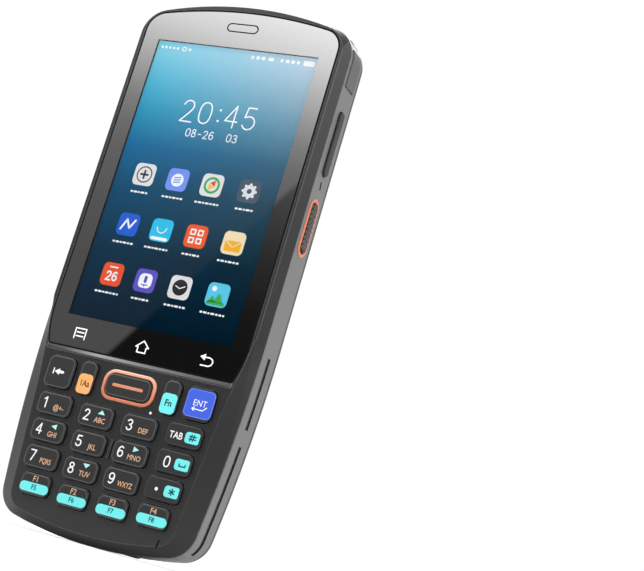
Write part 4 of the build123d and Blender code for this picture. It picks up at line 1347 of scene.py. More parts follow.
@dataclass
class Screen:
    """The lit picture behind the cover glass: wallpaper, clock, icons and soft keys."""

    finishes: Finishes
    picture: Picture = field(default_factory=Picture)
    layer: float = 0.03 * MM
    clear_gap: float = 0.001 * MM
    border_rise: float = 0.012 * MM
    icon: float = 6.7 * MM
    icon_round: float = 0.22
    columns: tuple[float, ...] = (-16.8 * MM, -5.9 * MM, 5.2 * MM, 17.0 * MM)
    rows: tuple[float, ...] = (103.3 * MM, 88.0 * MM, 73.0 * MM)
    caption_drop: float = 5.4 * MM
    dash_gap: float = 0.28 * MM
    dash_high: float = 0.58 * MM
    dashes: tuple[float, ...] = tuple(w * MM for w in (0.8, 1.1, 0.6, 1.2, 0.7, 0.9, 0.6))

    def depth(self, level: int) -> float:
        """y of a layer of the picture; level 1 lies deepest in the glass."""
        return LEVELS.glass_rear - level * self.layer

    @property
    def thin(self) -> float:
        """Thickness of one mark."""
        return self.layer * 0.5

    @property
    def sheet(self) -> float:
        """Thickness of the print behind the glass and of the picture."""
        return self.layer * 0.8

    def build(self) -> None:
        """Build every layer of the picture."""
        self.backing()
        self.wallpaper()
        self.status_bar()
        self.clock()
        self.icons()
        self.soft_keys()

    def keep(self, parts: Sequence[Piece], name: str, colour: Optional[str] = "white") -> None:
        """Join flat marks into one piece that is fixed to the terminal.

        Args:
            parts: the marks.
            name: the piece's name.
            colour: the palette's colour that they all take, or None to keep their own.
        """
        whole = join(parts, name)
        if colour:
            dress(whole, self.finishes.lit(f"lit_{colour}", PALETTE[colour]))
        fix_to(whole, "terminal")

    def flat(self, size: Spot, corner: float, x: float, z: float, level: int = 2) -> Piece:
        """A rounded mark on a layer of the picture."""
        return plate("mark", size, corner, Facing.FRONT, (x, self.depth(level), z), self.thin)

    def dot(self, diameter: float, x: float, z: float, level: int = 2, hole: float = 0.0,
            sides: int = 32, turn: float = 0.0) -> Piece:
        """A round or regular mark on a layer of the picture."""
        return disc("mark", diameter, Facing.FRONT, (x, self.depth(level), z), self.thin, hole,
                    sides, turn)

    def line(self, start: Spot, end: Spot, wide: float, level: int = 2) -> Piece:
        """A stroke on a layer of the picture."""
        return bar("mark", start, end, wide, Facing.FRONT, self.depth(level), self.thin)

    def backing(self) -> None:
        """Black print behind the whole glass."""
        low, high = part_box("touch_glass")
        middle = (0.0, self.depth(0) - self.clear_gap, (low.z + high.z) / 2 - 0.6 * MM)
        size = (high.x - low.x - 0.5 * MM, high.z - low.z - 2.0 * MM)
        obj = plate("glass_backing", size, 6.0 * MM, Facing.FRONT, middle, self.sheet)
        fix_to(dress(obj, self.finishes["glass_print"]), "terminal")

    def wallpaper(self) -> None:
        """The lit rectangle."""
        size = (2 * self.picture.half, self.picture.high - self.picture.low)
        middle = (0.0, self.depth(1), (self.picture.high + self.picture.low) / 2)
        obj = plate("screen_wallpaper", size, 0.0, Facing.FRONT, middle, self.sheet)
        fix_to(dress(obj, self.finishes["screen_picture"]), "terminal")

    def status_bar(self) -> None:
        """Row of small marks along the top edge."""
        z = self.picture.high - 1.9 * MM
        parts = [self.dot(0.75 * MM, (-24.4 + 1.3 * step) * MM, z) for step in range(5)]
        parts += [self.dot(1.5 * MM, -17.0 * MM, z, hole=0.9 * MM),
                  self.dot(1.4 * MM, -15.2 * MM, z, sides=3, turn=90)]
        for x, wide in ((5.5, 0.8), (7.2, 1.0), (8.9, 1.1), (11.4, 1.6), (14.8, 0.7), (16.6, 1.1),
                        (18.3, 1.1), (20.0, 0.8)):
            parts.append(self.flat((wide * MM, 1.05 * MM), 0.3 * MM, x * MM, z))
        parts.append(self.flat((3.4 * MM, 1.5 * MM), 0.4 * MM, 23.3 * MM, z))
        self.keep(parts, "screen_status_marks")

    def clock(self) -> None:
        """Plain clock digits and a short row of date digits."""
        clock = digits("20:45", 6.6 * MM, 0.42 * MM, (0.5 * MM, self.depth(2), 124.2 * MM),
                       self.thin, 0.86)
        self.keep(clock, "screen_clock")
        date = digits("08-26  03", 2.3 * MM, 0.26 * MM, (0.2 * MM, self.depth(2), 117.7 * MM),
                      self.thin, 0.82)
        self.keep(date, "screen_date")

    def tint(self, parts: Sequence[Piece], name: str) -> list[Piece]:
        """Give marks one lit colour of the palette."""
        material = self.finishes.lit(f"lit_{name}", PALETTE[name])
        return [dress(part, material) for part in parts]

    def icons(self) -> None:
        """Three rows of plain icons, each with a short broken line for its caption."""
        plan = [(Glyph.RING, "ledge_glint"), (Glyph.BUBBLE, "violet"), (Glyph.GLOBE, "ledge_glint"),
                (Glyph.GEAR, "slate"), (Glyph.CHART, "royal"), (Glyph.BAG, "aqua"),
                (Glyph.GRID, "orange"), (Glyph.LETTER, "cream"), (Glyph.DAY, "coral"),
                (Glyph.VOICE, "iris"), (Glyph.CLOCK, "ledge_glint"), (Glyph.HILLS, "sky")]
        for index, (glyph, colour) in enumerate(plan):
            x, z = self.columns[index % 4], self.rows[index // 4]
            body = self.flat((self.icon, self.icon), self.icon * self.icon_round, x, z)
            parts = self.tint([body], colour) + IconMark(self, x, z).draw(glyph)
            parts += self.caption(x, z - self.caption_drop, 5 + index % 3)
            self.keep(parts, f"screen_icon_{glyph.value}", None)

    def caption(self, x: float, z: float, count: int) -> list[Piece]:
        """A short broken line in place of an icon's caption.

        Args:
            x: its middle across.
            z: its height.
            count: how many dashes it has.

        Returns:
            The dashes.
        """
        dashes = self.dashes[:count]
        start = x - (sum(dashes) + self.dash_gap * (count - 1)) / 2
        lines = []
        for wide in dashes:
            lines.append(self.flat((wide, self.dash_high), 0.2 * MM, start + wide / 2, z))
            start += wide + self.dash_gap
        return self.tint(lines, "white")

    def soft_keys(self) -> None:
        """Menu, home and back marks printed on the border below the picture."""
        z = 54.5 * MM
        wide = 0.34 * MM
        front = LEVELS.glass - self.border_rise

        def path(points: Sequence[Spot]) -> list[Piece]:
            """Strokes through points in millimetres.

            Args:
                points: the points in order.

            Returns:
                The strokes.
            """
            return [bar("mark", (a[0] * MM, z + a[1] * MM), (b[0] * MM, z + b[1] * MM), wide,
                        Facing.FRONT, front, stagger(self.thin, step, 0.1, 5))
                    for step, (a, b) in enumerate(zip(points, points[1:]))]

        menu = path([(-21.9, -1.4), (-21.9, 1.5), (-18.5, 1.5), (-18.5, -1.4)])
        menu += path([(-21.3, 0.4), (-19.1, 0.4)]) + path([(-21.3, -0.7), (-19.1, -0.7)])
        home = path([(-1.3, 0.0), (-1.3, -1.5), (1.3, -1.5), (1.3, 0.0), (2.0, 0.0), (0.1, 1.8),
                     (-2.0, 0.0), (-1.3, 0.0)])
        back = path([(18.6, -1.2), (20.9, -1.2), (21.7, -0.8), (22.0, 0.0), (21.7, 0.7),
                     (20.9, 1.1), (19.2, 1.1)])
        back.append(disc("mark", 2.1 * MM, Facing.FRONT, (18.9 * MM, front, z + 1.1 * MM),
                         self.thin * 1.6, sides=3, turn=90))
        for name, parts in (("menu", menu), ("home", home), ("back", back)):
            self.keep(parts, f"screen_{name}_mark")


@dataclass
class GlassBorder:
    """Polished dark border of the cover glass, round the clear window of the picture."""

    finishes: Finishes
    picture: Picture = field(default_factory=Picture)
    thick: float = 0.015 * MM
    gasket_wide: float = 0.4 * MM
    gasket_rise: float = 0.03 * MM
    front_normal: float = -0.99

    def build(self) -> None:
        """Build the border, the line round the glass and the earpiece's rim."""
        self.border()
        self.gasket()
        self.earpiece_rim()

    def front_face(self) -> Piece:
        """Copy of the glass's front face, in edit mode with its faces selected.

        Returns:
            The copy.
        """
        deselect()
        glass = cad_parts["touch_glass"]
        obj = glass.copy()
        obj.data = glass.data.copy()
        bpy.context.scene.collection.objects.link(obj)
        obj.select_set(True)
        bpy.context.view_layer.objects.active = obj
        for key in list(obj.keys()):
            del obj[key]
        edit_all()
        bpy.ops.mesh.remove_doubles(threshold=MERGE_WITHIN)
        bpy.ops.mesh.select_mode(type="FACE")
        bpy.ops.mesh.select_all(action="DESELECT")
        bpy.ops.object.mode_set(mode="OBJECT")
        for face in obj.data.polygons:
            face.select = face.normal.y > self.front_normal
        bpy.ops.object.mode_set(mode="EDIT")
        bpy.ops.mesh.delete(type="FACE")
        bpy.ops.mesh.select_all(action="SELECT")
        return obj

    @staticmethod
    def raise_face(thick: float) -> None:
        """Let the face in edit mode stand out to the front, and leave edit mode."""
        bpy.ops.mesh.select_mode(type="VERT")
        thicken((0, -thick, 0))

    def border(self) -> None:
        """Front face with the picture's window open in it."""
        obj = self.front_face()
        for point, normal in self.sides():
            bpy.ops.mesh.select_all(action="SELECT")
            bpy.ops.mesh.bisect(plane_co=point, plane_no=normal, threshold=MERGE_WITHIN)
        bpy.ops.mesh.select_all(action="DESELECT")
        bpy.ops.object.mode_set(mode="OBJECT")
        for face in obj.data.polygons:
            middle = face.center
            face.select = (abs(middle.x) < self.picture.half
                           and self.picture.low < middle.z < self.picture.high)
        bpy.ops.object.mode_set(mode="EDIT")
        bpy.ops.mesh.delete(type="FACE")
        self.raise_face(self.thick)
        settle(obj, "glass_border")
        fix_to(dress(obj, self.finishes["border_gloss"]), "terminal")

    def gasket(self) -> None:
        """Narrow black line round the glass, from another copy of its front face."""
        obj = self.front_face()
        bpy.ops.mesh.inset(thickness=self.gasket_wide, use_boundary=True)
        bpy.ops.mesh.delete(type="FACE")
        self.raise_face(self.gasket_rise)
        settle(obj, "glass_gasket")
        fix_to(dress(obj, self.finishes["shadow_line"]), "terminal")

    def earpiece_rim(self) -> None:
        """Fine pale line round the earpiece."""
        low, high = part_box("earpiece_mesh")
        wide, tall = high.x - low.x, high.z - low.z
        place = (0.0, LEVELS.glass, (low.z + high.z) / 2)
        rim = plate("rim", (wide + 0.3 * MM, tall + 0.3 * MM), tall * 0.4, Facing.FRONT, place)
        dress(rim, self.finishes["ring_pale"])
        core = plate("core", (wide - 0.1 * MM, tall - 0.1 * MM), tall * 0.35, Facing.FRONT, place,
                     1.5 * PRINT_RISE)
        dress(core, self.finishes["border_gloss"])
        fix_to(join([rim, core], "earpiece_rim"), "terminal")

    def sides(self) -> list[tuple[Place, Place]]:
        """Planes through the window's four edges.

        Returns:
            A point and a normal of each.
        """
        half, low, high = self.picture.half, self.picture.low, self.picture.high
        return [((half, 0, 0), (1, 0, 0)), ((-half, 0, 0), (1, 0, 0)),
                ((0, 0, low), (0, 0, 1)), ((0, 0, high), (0, 0, 1))]


# ---- keypad
@dataclass
class Keypad:
    """Coloured keys, and the numbers, letters and plain symbols printed on the caps."""

    finishes: Finishes
    digit: float = 2.8 * MM
    digit_stroke: float = 0.36 * MM
    small: float = 2.05 * MM
    symbol: float = 0.34
    patch_corner: float = 1.2
    lift: float = PRINT_RISE
    flange: float = 0.4 * MM
    corner: float = 2.0 * MM
    rim_inset: float = 0.35 * MM
    blue: Colour = (0.03, 0.085, 0.58)
    blue_rim_highlight: Colour = (0.09, 0.19, 0.75)
    dim_rim_highlight: Colour = (0.02, 0.02, 0.021)
    letters: dict[str, str] = field(default_factory=lambda: {
        "1": "@+-", "2": "ABC", "3": "DEF", "4": "GHI", "5": "JKL", "6": "MNO", "7": "PQRS",
        "8": "TUV", "9": "WXYZ"})
    arrows: dict[str, tuple[float, float, float]] = field(default_factory=lambda: {
        "2": (2.2, 1.15, 0.0), "4": (1.5, 1.6, 90.0), "6": (1.5, 1.6, -90.0),
        "8": (2.2, 1.15, 180.0)})

    def build(self) -> None:
        """Colour and print every key."""
        for key, letters in self.letters.items():
            self.mould(key)
            self.number(key, letters)
        for key in ("backspace", "scan"):
            self.mould(key)
        # Enter is blue only on its top; the black sides round it are painted shade, and its paler
        # blue rim is a painted highlight.
        blue = self.area("enter", 0.2, 0.1, (4.1, 3.75), 1.3)
        self.mould("enter", blue, self.blue, blue, self.blue_rim_highlight)
        self.right_column()
        self.function_keys()
        self.top_row()
        self.panel_marks()

    def middle(self, key: str) -> Vector:
        """Middle of a key cap's front face."""
        low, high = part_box(f"key_{key}")
        return Vector(((low.x + high.x) / 2, low.y, (low.z + high.z) / 2))

    def half(self, key: str) -> Spot:
        """Half width and half height of a key cap."""
        low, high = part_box(f"key_{key}")
        return ((high.x - low.x) / 2 - self.flange, (high.z - low.z) / 2 - self.flange)

    def at(self, key: str, dx: float, dz: float) -> Place:
        """Place on a key, in millimetres from its middle."""
        middle = self.middle(key)
        return (middle.x + dx * MM, middle.y, middle.z + dz * MM)

    def fix(self, key: str, parts: Sequence[Piece]) -> None:
        """Join the marks of a key and let them ride on it."""
        fix_to(join(parts, f"legend_{key}"), f"key_{key}_body")

    def write(self, key: str, text: str, size: float, dx: float, dz: float, ink: str,
              stretch: float = 1.0, bold: float = 0.01) -> Piece:
        """Text on a key, with its ink.

        Args:
            key: the key's name.
            text: what it shows.
            size: type size in metres.
            dx: millimetres right of its middle.
            dz: millimetres above it.
            ink: the ink's name.
            stretch: width over the font's own width.
            bold: how much each stroke grows, in font units.

        Returns:
            The finished text.
        """
        obj = words("text", text, size, Facing.FRONT, self.at(key, dx, dz), self.lift, stretch,
                    bold)
        return dress(obj, self.finishes[ink])

    def numeral(self, key: str, text: str, dx: float, dz: float) -> list[Piece]:
        """A large white digit on a key."""
        strokes = digits(text, self.digit, self.digit_stroke, self.at(key, dx, dz), self.lift)
        return [dress(part, self.finishes["ink_white"]) for part in strokes]

    def stroke(self, key: str, start: Spot, end: Spot, wide: float, ink: str) -> Piece:
        """A stroke on a key between two places in millimetres from its middle.

        Its thickness follows its place, so that strokes that cross share no face.

        Args:
            key: the key's name.
            start: one end.
            end: the other end.
            wide: its width in millimetres.
            ink: the ink's name.

        Returns:
            The finished stroke.
        """
        x, y, z = self.at(key, 0.0, 0.0)
        rise = self.lift * (1.0 + 0.1 * (start[0] + 3 * start[1] - end[1]) % 0.5)
        obj = bar("stroke", (x + start[0] * MM, z + start[1] * MM),
                  (x + end[0] * MM, z + end[1] * MM), wide * MM, Facing.FRONT, y, rise)
        return dress(obj, self.finishes[ink])

    def colour(self, key: str, ink: Colour, dx: float, dz: float, half: Spot, corner: float,
               rim: Optional[Colour] = None) -> None:
        """Give a key a coloured area, all sizes in millimetres from its middle."""
        self.mould(key, self.area(key, dx, dz, half, corner), ink, rim=rim)

    def area(self, key: str, dx: float, dz: float, half: Spot, corner: float) -> Area:
        """Area on a key, all sizes in millimetres from its middle.

        Args:
            key: the key's name.
            dx: millimetres right of its middle.
            dz: millimetres above it.
            half: half its width and half its height.
            corner: corner radius.

        Returns:
            The area, in metres.
        """
        middle = self.middle(key)
        return Area(middle.x + dx * MM, middle.z + dz * MM, (half[0] * MM, half[1] * MM),
                    corner * MM)

    def mould(self, key: str, area: Optional[Area] = None, ink: Colour = NO_COLOUR,
              outline: Optional[Area] = None, rim: Optional[Colour] = None) -> None:
        """Give a key its own plastic.

        Args:
            key: the key's name.
            area: its coloured area, or None.
            ink: the area's colour.
            outline: the painted highlight rim's outer edge, or None for the cap's own edge.
            rim: the painted highlight rim's colour, or None for the usual one.
        """
        middle = self.middle(key)
        edge = Area(middle.x, middle.z, self.half(key), self.corner).inset(self.rim_inset)
        paint(f"key_{key}",
              self.finishes.cap(f"key_{key}_plastic", outline or edge, area, ink, rim))

    def number(self, key: str, letters: str) -> None:
        """A large digit with small letters beside it, and an arrow on four of the keys.

        Args:
            key: the key's digit.
            letters: the small letters, drawn narrower where there are four.
        """
        wide = 0.86 if len(letters) < 4 else 0.74
        parts = [*self.numeral(key, key, -2.75, 0.1),
                 self.write(key, letters, self.small, 1.65, -0.85, "ink_sand", wide, 0.012)]
        if key in self.arrows:
            base, height, turn = self.arrows[key]
            arrow = plate("arrow", (base * MM, height * MM), 0.0, Facing.FRONT,
                          self.at(key, 1.6, 1.45), self.lift, turn, taper=0.05)
            parts.append(dress(arrow, self.finishes["ink_ice"]))
        self.fix(key, parts)

    def right_column(self) -> None:
        """Tab, zero and dot keys with a cyan right end."""
        # These keys take a fainter painted highlight rim.
        for key in ("tab", "0", "dot"):
            self.colour(key, self.finishes.cyan, 2.8, -0.1, (2.25, 1.5), 0.9, self.dim_rim_highlight)
        cross = [self.stroke("tab", (2.7 + dx, -0.85), (2.95 + dx, 0.75), self.symbol, "ink_teal")
                 for dx in (-0.5, 0.25)]
        cross += [self.stroke("tab", (1.85, dz), (3.8, dz), self.symbol, "ink_teal")
                  for dz in (-0.4, 0.3)]
        self.fix("tab", [self.write("tab", "TAB", 2.6 * MM, -2.15, -0.35, "ink_white", 0.84, 0.012),
                         *cross])
        path = [(1.9, 0.1), (1.9, -0.5), (3.7, -0.5), (3.7, 0.1)]
        space = [self.stroke("0", a, b, self.symbol, "ink_teal") for a, b in zip(path, path[1:])]
        self.fix("0", [*self.numeral("0", "0", -1.8, -0.1), *space])
        dot = disc("dot", 0.95 * MM, Facing.FRONT, self.at("dot", -1.8, -0.2), self.lift)
        star = [self.stroke("dot", (2.8 - 0.85 * cos(a), -0.1 - 0.85 * sin(a)),
                            (2.8 + 0.85 * cos(a), -0.1 + 0.85 * sin(a)), self.symbol, "ink_teal")
                for a in (pi / 2, pi / 6, -pi / 6)]
        self.fix("dot", [dress(dot, self.finishes["ink_white"]), *star])

    def function_keys(self) -> None:
        """F1 to F4 above a cyan half that carries F5 to F8."""
        for number in range(1, 5):
            key = f"f{number}"
            wide, high = (size / MM for size in self.half(key))
            self.colour(key, self.finishes.cyan, 0.1, -high * 0.31, (wide * 0.96, high * 0.43),
                        self.patch_corner)
            self.fix(key, [self.write(key, f"F{number}", 2.2 * MM, 0.0, 1.4, "ink_sand", 0.92),
                           self.write(key, f"F{number + 4}", 1.9 * MM, 0.1, -0.85, "ink_teal",
                                      0.92, 0.02)])

    def top_row(self) -> None:
        """Backspace, case, scan, Fn and enter keys."""
        head = disc("arrow", 2.1 * MM, Facing.FRONT, self.at("backspace", -0.5, 0.0),
                    self.lift * 1.6, sides=3, turn=90)
        self.fix("backspace", [dress(head, self.finishes["ink_white"]),
                               self.stroke("backspace", (-1.9, -0.7), (-1.9, 0.7), 0.35,
                                           "ink_white"),
                               self.stroke("backspace", (-0.2, 0.0), (1.1, 0.0), 0.75,
                                           "ink_white")])
        self.colour("case", self.finishes.amber, 0.0, -1.65, (2.25, 2.75), self.patch_corner)
        self.fix("case", [self.write("case", "1Aa", 2.5 * MM, 0.0, -1.6, "ink_brown", 0.8, 0.02)])
        self.colour("fn", self.finishes.cyan, 0.0, -1.65, (2.3, 2.75), self.patch_corner)
        self.fix("fn", [self.write("fn", "Fn", 2.5 * MM, 0.0, -1.6, "ink_teal", 0.92, 0.03)])
        dash = plate("dash", (9.6 * MM, 0.85 * MM), 0.35 * MM, Facing.FRONT,
                     self.at("scan", 0.0, 0.0), self.lift)
        self.fix("scan", [dress(dash, self.finishes["copper_ring"])])
        arrow = [((2.6, -0.5), (1.6, -1.5)), ((1.6, -1.5), (-1.6, -1.4)),
                 ((-1.6, -1.4), (-1.0, -0.95)), ((-1.6, -1.4), (-1.0, -1.85))]
        self.fix("enter", [self.write("enter", "ENT", 2.4 * MM, 0.35, 0.2, "ink_white", 0.92, 0.0),
                           *[self.stroke("enter", a, b, 0.28, "ink_white") for a, b in arrow]])

    def panel_marks(self) -> None:
        """Signal lamp, locating rib and microphone slot on the keypad panel."""
        lamp = disc("signal_lamp", 0.75 * MM, Facing.FRONT, (8.5 * MM, LEVELS.glass, 37.7 * MM),
                    0.04 * MM)
        fix_to(dress(lamp, self.finishes["ink_white"]), "terminal")
        deselect()
        bpy.ops.mesh.primitive_cube_add(size=1.0, location=(0, LEVELS.glass - 0.2 * MM, 25.8 * MM))
        rib = bpy.context.object
        rib.scale = (0.75 * MM, 0.5 * MM, 5.2 * MM)
        bpy.ops.object.transform_apply(location=True, rotation=False, scale=True)
        edit_all()
        bpy.ops.mesh.bevel(offset=0.2 * MM, segments=3)
        bpy.ops.object.mode_set(mode="OBJECT")
        fix_to(dress(settle(rib, "locating_rib"), self.finishes["key_plastic"]), "terminal")
        # Painted shade: a black plate stands for the microphone slot.
        slot = plate("microphone_slot", (0.5 * MM, 2.3 * MM), 0.2 * MM, Facing.FRONT,
                     (21.9 * MM, LEVELS.glass, 5.3 * MM), turn=-6)
        fix_to(dress(slot, self.finishes["shadow_line"]), "terminal")


# ---- sides
@dataclass
class SideDetails:
    """Ribs on the volume rocker and a small slot on each side of the frame, drawn as black plates
    of painted shade.
    """

    finishes: Finishes
    lift: float = PRINT_RISE
    slot_z: float = 110.2 * MM
    depth_y: float = -7.25 * MM
    first_rib: float = 4.3 * MM
    rib_step: float = 1.25 * MM
    rib_count: int = 4

    def build(self) -> None:
        """Build both sides."""
        low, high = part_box("volume_rocker")
        middle = Vector((low.x, (low.y + high.y) / 2, (low.z + high.z) / 2))
        parts = []
        # Painted shade: black plates stand for the grooves between the rocker's ribs.
        for end in (-1, 1):
            for step in range(self.rib_count):
                z = middle.z + end * (self.first_rib + step * self.rib_step)
                parts.append(plate("groove", (1.9 * MM, 0.45 * MM), 0.15 * MM, Facing.LEFT,
                                   (low.x, middle.y, z), self.lift))
        parts.append(plate("groove", (0.9 * MM, 3.0 * MM), 0.4 * MM, Facing.LEFT,
                           (low.x, middle.y, middle.z), self.lift))
        grooves = dress(join(parts, "rocker_grooves"), self.finishes["shadow_line"])
        fix_to(grooves, "rocker_body")
        face_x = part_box("mid_frame")[1].x
        # Painted shade: a black plate stands for each side slot.
        for side, facing, x in (("right", Facing.RIGHT, face_x), ("left", Facing.LEFT, -face_x)):
            slot = plate(f"side_slot_{side}", (0.7 * MM, 2.4 * MM), 0.3 * MM, facing,
                         (x, self.depth_y, self.slot_z), self.lift, turn=14)
            fix_to(dress(slot, self.finishes["shadow_line"]), "terminal")


# ---- rear
@dataclass
class RearMarks:
    """Slide arrows, lock marks, small notches and the blank two-tone plate on the rear."""

    finishes: Finishes
    lift: float = 0.03 * MM
    arrow_x: float = 17.3 * MM
    arrow_z: float = 28.7 * MM
    lock_x: float = 7.5 * MM
    lock_z: float = 21.5 * MM
    notch_x: float = 18.5 * MM
    notch_z: float = 16.9 * MM
    label_split: float = 0.52
    band_low: Spot = (0.35 * MM, 19.4 * MM)
    band_high: Spot = (1.75 * MM, 23.7 * MM)

    def build(self) -> None:
        """Build every mark."""
        self.slide_arrows()
        self.lock_marks()
        self.notches()
        self.label_halves()

    def slide_arrows(self) -> None:
        """Two bars over a triangle, on each side of the cover."""
        y = self.band_high[0]
        for side, x in (("left", -self.arrow_x), ("right", self.arrow_x)):
            parts = [bar("bar", (x - 1.9 * MM, self.arrow_z + dz * MM),
                         (x + 1.9 * MM, self.arrow_z + dz * MM), 0.4 * MM, Facing.REAR, y,
                         self.lift) for dz in (1.6, 2.7)]
            parts.append(disc("triangle", 3.9 * MM, Facing.REAR, (x, y, self.arrow_z - 0.1 * MM),
                              self.lift, sides=3, turn=180))
            whole = join(parts, f"slide_arrow_{side}")
            fix_to(dress(whole, self.finishes["ink_grey"]), "cover_body")

    def lock_marks(self) -> None:
        """Open and closed padlock with an arrow between, on the cover's sloping band."""
        z = self.lock_z
        y = self.band_high[0]
        wide = 0.26 * MM

        def path(x: float, points: Sequence[Spot]) -> list[Piece]:
            """Strokes through points in millimetres from a padlock's middle.

            Args:
                x: the padlock's place across.
                points: the points in order.

            Returns:
                The strokes.
            """
            return [bar("stroke", (x + a[0] * MM, z + a[1] * MM),
                        (x + b[0] * MM, z + b[1] * MM), wide, Facing.REAR, y, self.lift)
                    for a, b in zip(points, points[1:])]

        body = [(-1.0, -1.2), (1.0, -1.2), (1.0, 0.2), (-1.0, 0.2), (-1.0, -1.2)]
        closed = [(-0.7, 0.2), (-0.7, 0.9), (-0.3, 1.3), (0.3, 1.3), (0.7, 0.9), (0.7, 0.2)]
        opened = [(0.7, 0.2), (0.7, 0.9), (1.1, 1.3), (1.7, 1.3), (2.1, 0.9)]
        parts = (path(-self.lock_x, body) + path(-self.lock_x, closed) + path(self.lock_x, body)
                 + path(self.lock_x, opened) + path(0.0, [(-2.6, -0.6), (2.6, -0.6)])
                 + path(0.0, [(-2.6, -0.6), (-1.9, -0.2)]) + path(0.0, [(2.6, -0.6), (1.9, -0.2)]))
        whole = join(parts, "latch_marks")
        rise = self.band_high[1] - self.band_low[1]
        run = self.band_high[0] - self.band_low[0]
        share = (self.band_high[1] - z) / rise
        drop = share * run
        slope = atan2(run, rise)
        pivot = Matrix.Translation((0, y, z))
        whole.matrix_world = (Matrix.Translation((0, -drop, 0)) @ pivot
                              @ Matrix.Rotation(-slope, 4, "X") @ pivot.inverted())
        bpy.ops.object.transform_apply(location=True, rotation=True, scale=True)
        fix_to(dress(whole, self.finishes["shadow_line"]), "cover_body")

    def notches(self) -> None:
        """Finger notches beside the latch panel, drawn as black plates of painted shade."""
        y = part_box("lower_rear_shell")[1].y
        for side, x in (("left", -self.notch_x), ("right", self.notch_x)):
            # Painted shade for each notch.
            dark = plate(f"notch_{side}", (2.2 * MM, 0.8 * MM), 0.35 * MM, Facing.REAR,
                         (x, y - 0.25 * MM, self.notch_z), 0.27 * MM)
            fix_to(dress(dark, self.finishes["shadow_line"]), "terminal")

    def label_halves(self) -> None:
        """Blank plate on the hood, dark above and yellow below."""
        low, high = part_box("hood_label")
        split = low.z + (high.z - low.z) * self.label_split
        reach = 10 * MM
        finish = Finish("label_two_tone", (0.5, 0.5, 0.1), 0.5, specular=0.0, grain=0.03, wear_and_glint=0.0,
                        edge_radius=0.0, pattern=lambda tree: tree.blend(
                            tree.maths("GREATER_THAN",
                                       height_share(tree, split - reach, split + reach), 0.5),
                            (0.76, 0.74, 0.012), (0.002, 0.002, 0.002)))
        paint("hood_label", finish.build(self.finishes.effects))


@dataclass
class CameraModule:
    """Rings and front element of the camera, seen in its dark glass."""

    finishes: Finishes
    lift: float = PRINT_RISE
    dome_radius: float = 1.3 * MM
    dome_depth: float = 1.2 * MM
    rings: tuple[tuple[float, float, str], ...] = (
        (6.6 * MM, 6.25 * MM, "ring_pale"), (4.4 * MM, 2.9 * MM, "bezel_metal"),
        (2.9 * MM, 2.7 * MM, "ring_pale"))

    def build(self) -> None:
        """Build the rings and the front element."""
        low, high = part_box("camera_lens")
        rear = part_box("camera_glass")[1].y
        place = ((low.x + high.x) / 2, rear, (low.z + high.z) / 2)
        parts = [dress(disc("ring", outer, Facing.REAR, place, self.lift, hole=inner, sides=48),
                       self.finishes[finish]) for outer, inner, finish in self.rings]
        fix_to(join(parts, "camera_rings"), "terminal")
        deselect()
        middle = (place[0], rear - self.dome_depth, place[2])
        bpy.ops.mesh.primitive_uv_sphere_add(segments=32, ring_count=16, radius=self.dome_radius,
                                             location=middle)
        dome = bpy.context.object
        edit_all()
        bpy.ops.mesh.bisect(plane_co=(0, rear, 0), plane_no=(0, 1, 0), clear_inner=True,
                            use_fill=True)
        bpy.ops.mesh.select_all(action="SELECT")
        bpy.ops.mesh.normals_make_consistent(inside=False)
        bpy.ops.object.mode_set(mode="OBJECT")
        bpy.ops.object.shade_smooth_by_angle(angle=radians(40))
        fix_to(dress(settle(dome, "camera_front_element"), self.finishes["lens_tint"]), "terminal")


@dataclass
class ContactDetails:
    """Dark screw heads in the two pockets beside the charging pads."""

    finishes: Finishes
    pocket_x: float = 11.6 * MM
    pocket_z: float = 114.9 * MM
    floor_depth: float = 1.4 * MM

    def build(self) -> None:
        """Build both screw heads."""
        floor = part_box("contact_block")[1].y - self.floor_depth
        for side, x in (("left", -self.pocket_x), ("right", self.pocket_x)):
            head = disc(f"pocket_screw_{side}", 1.7 * MM, Facing.REAR, (x, floor, self.pocket_z),
                        0.35 * MM)
            fix_to(dress(head, self.finishes["shadow_line"]), "terminal")


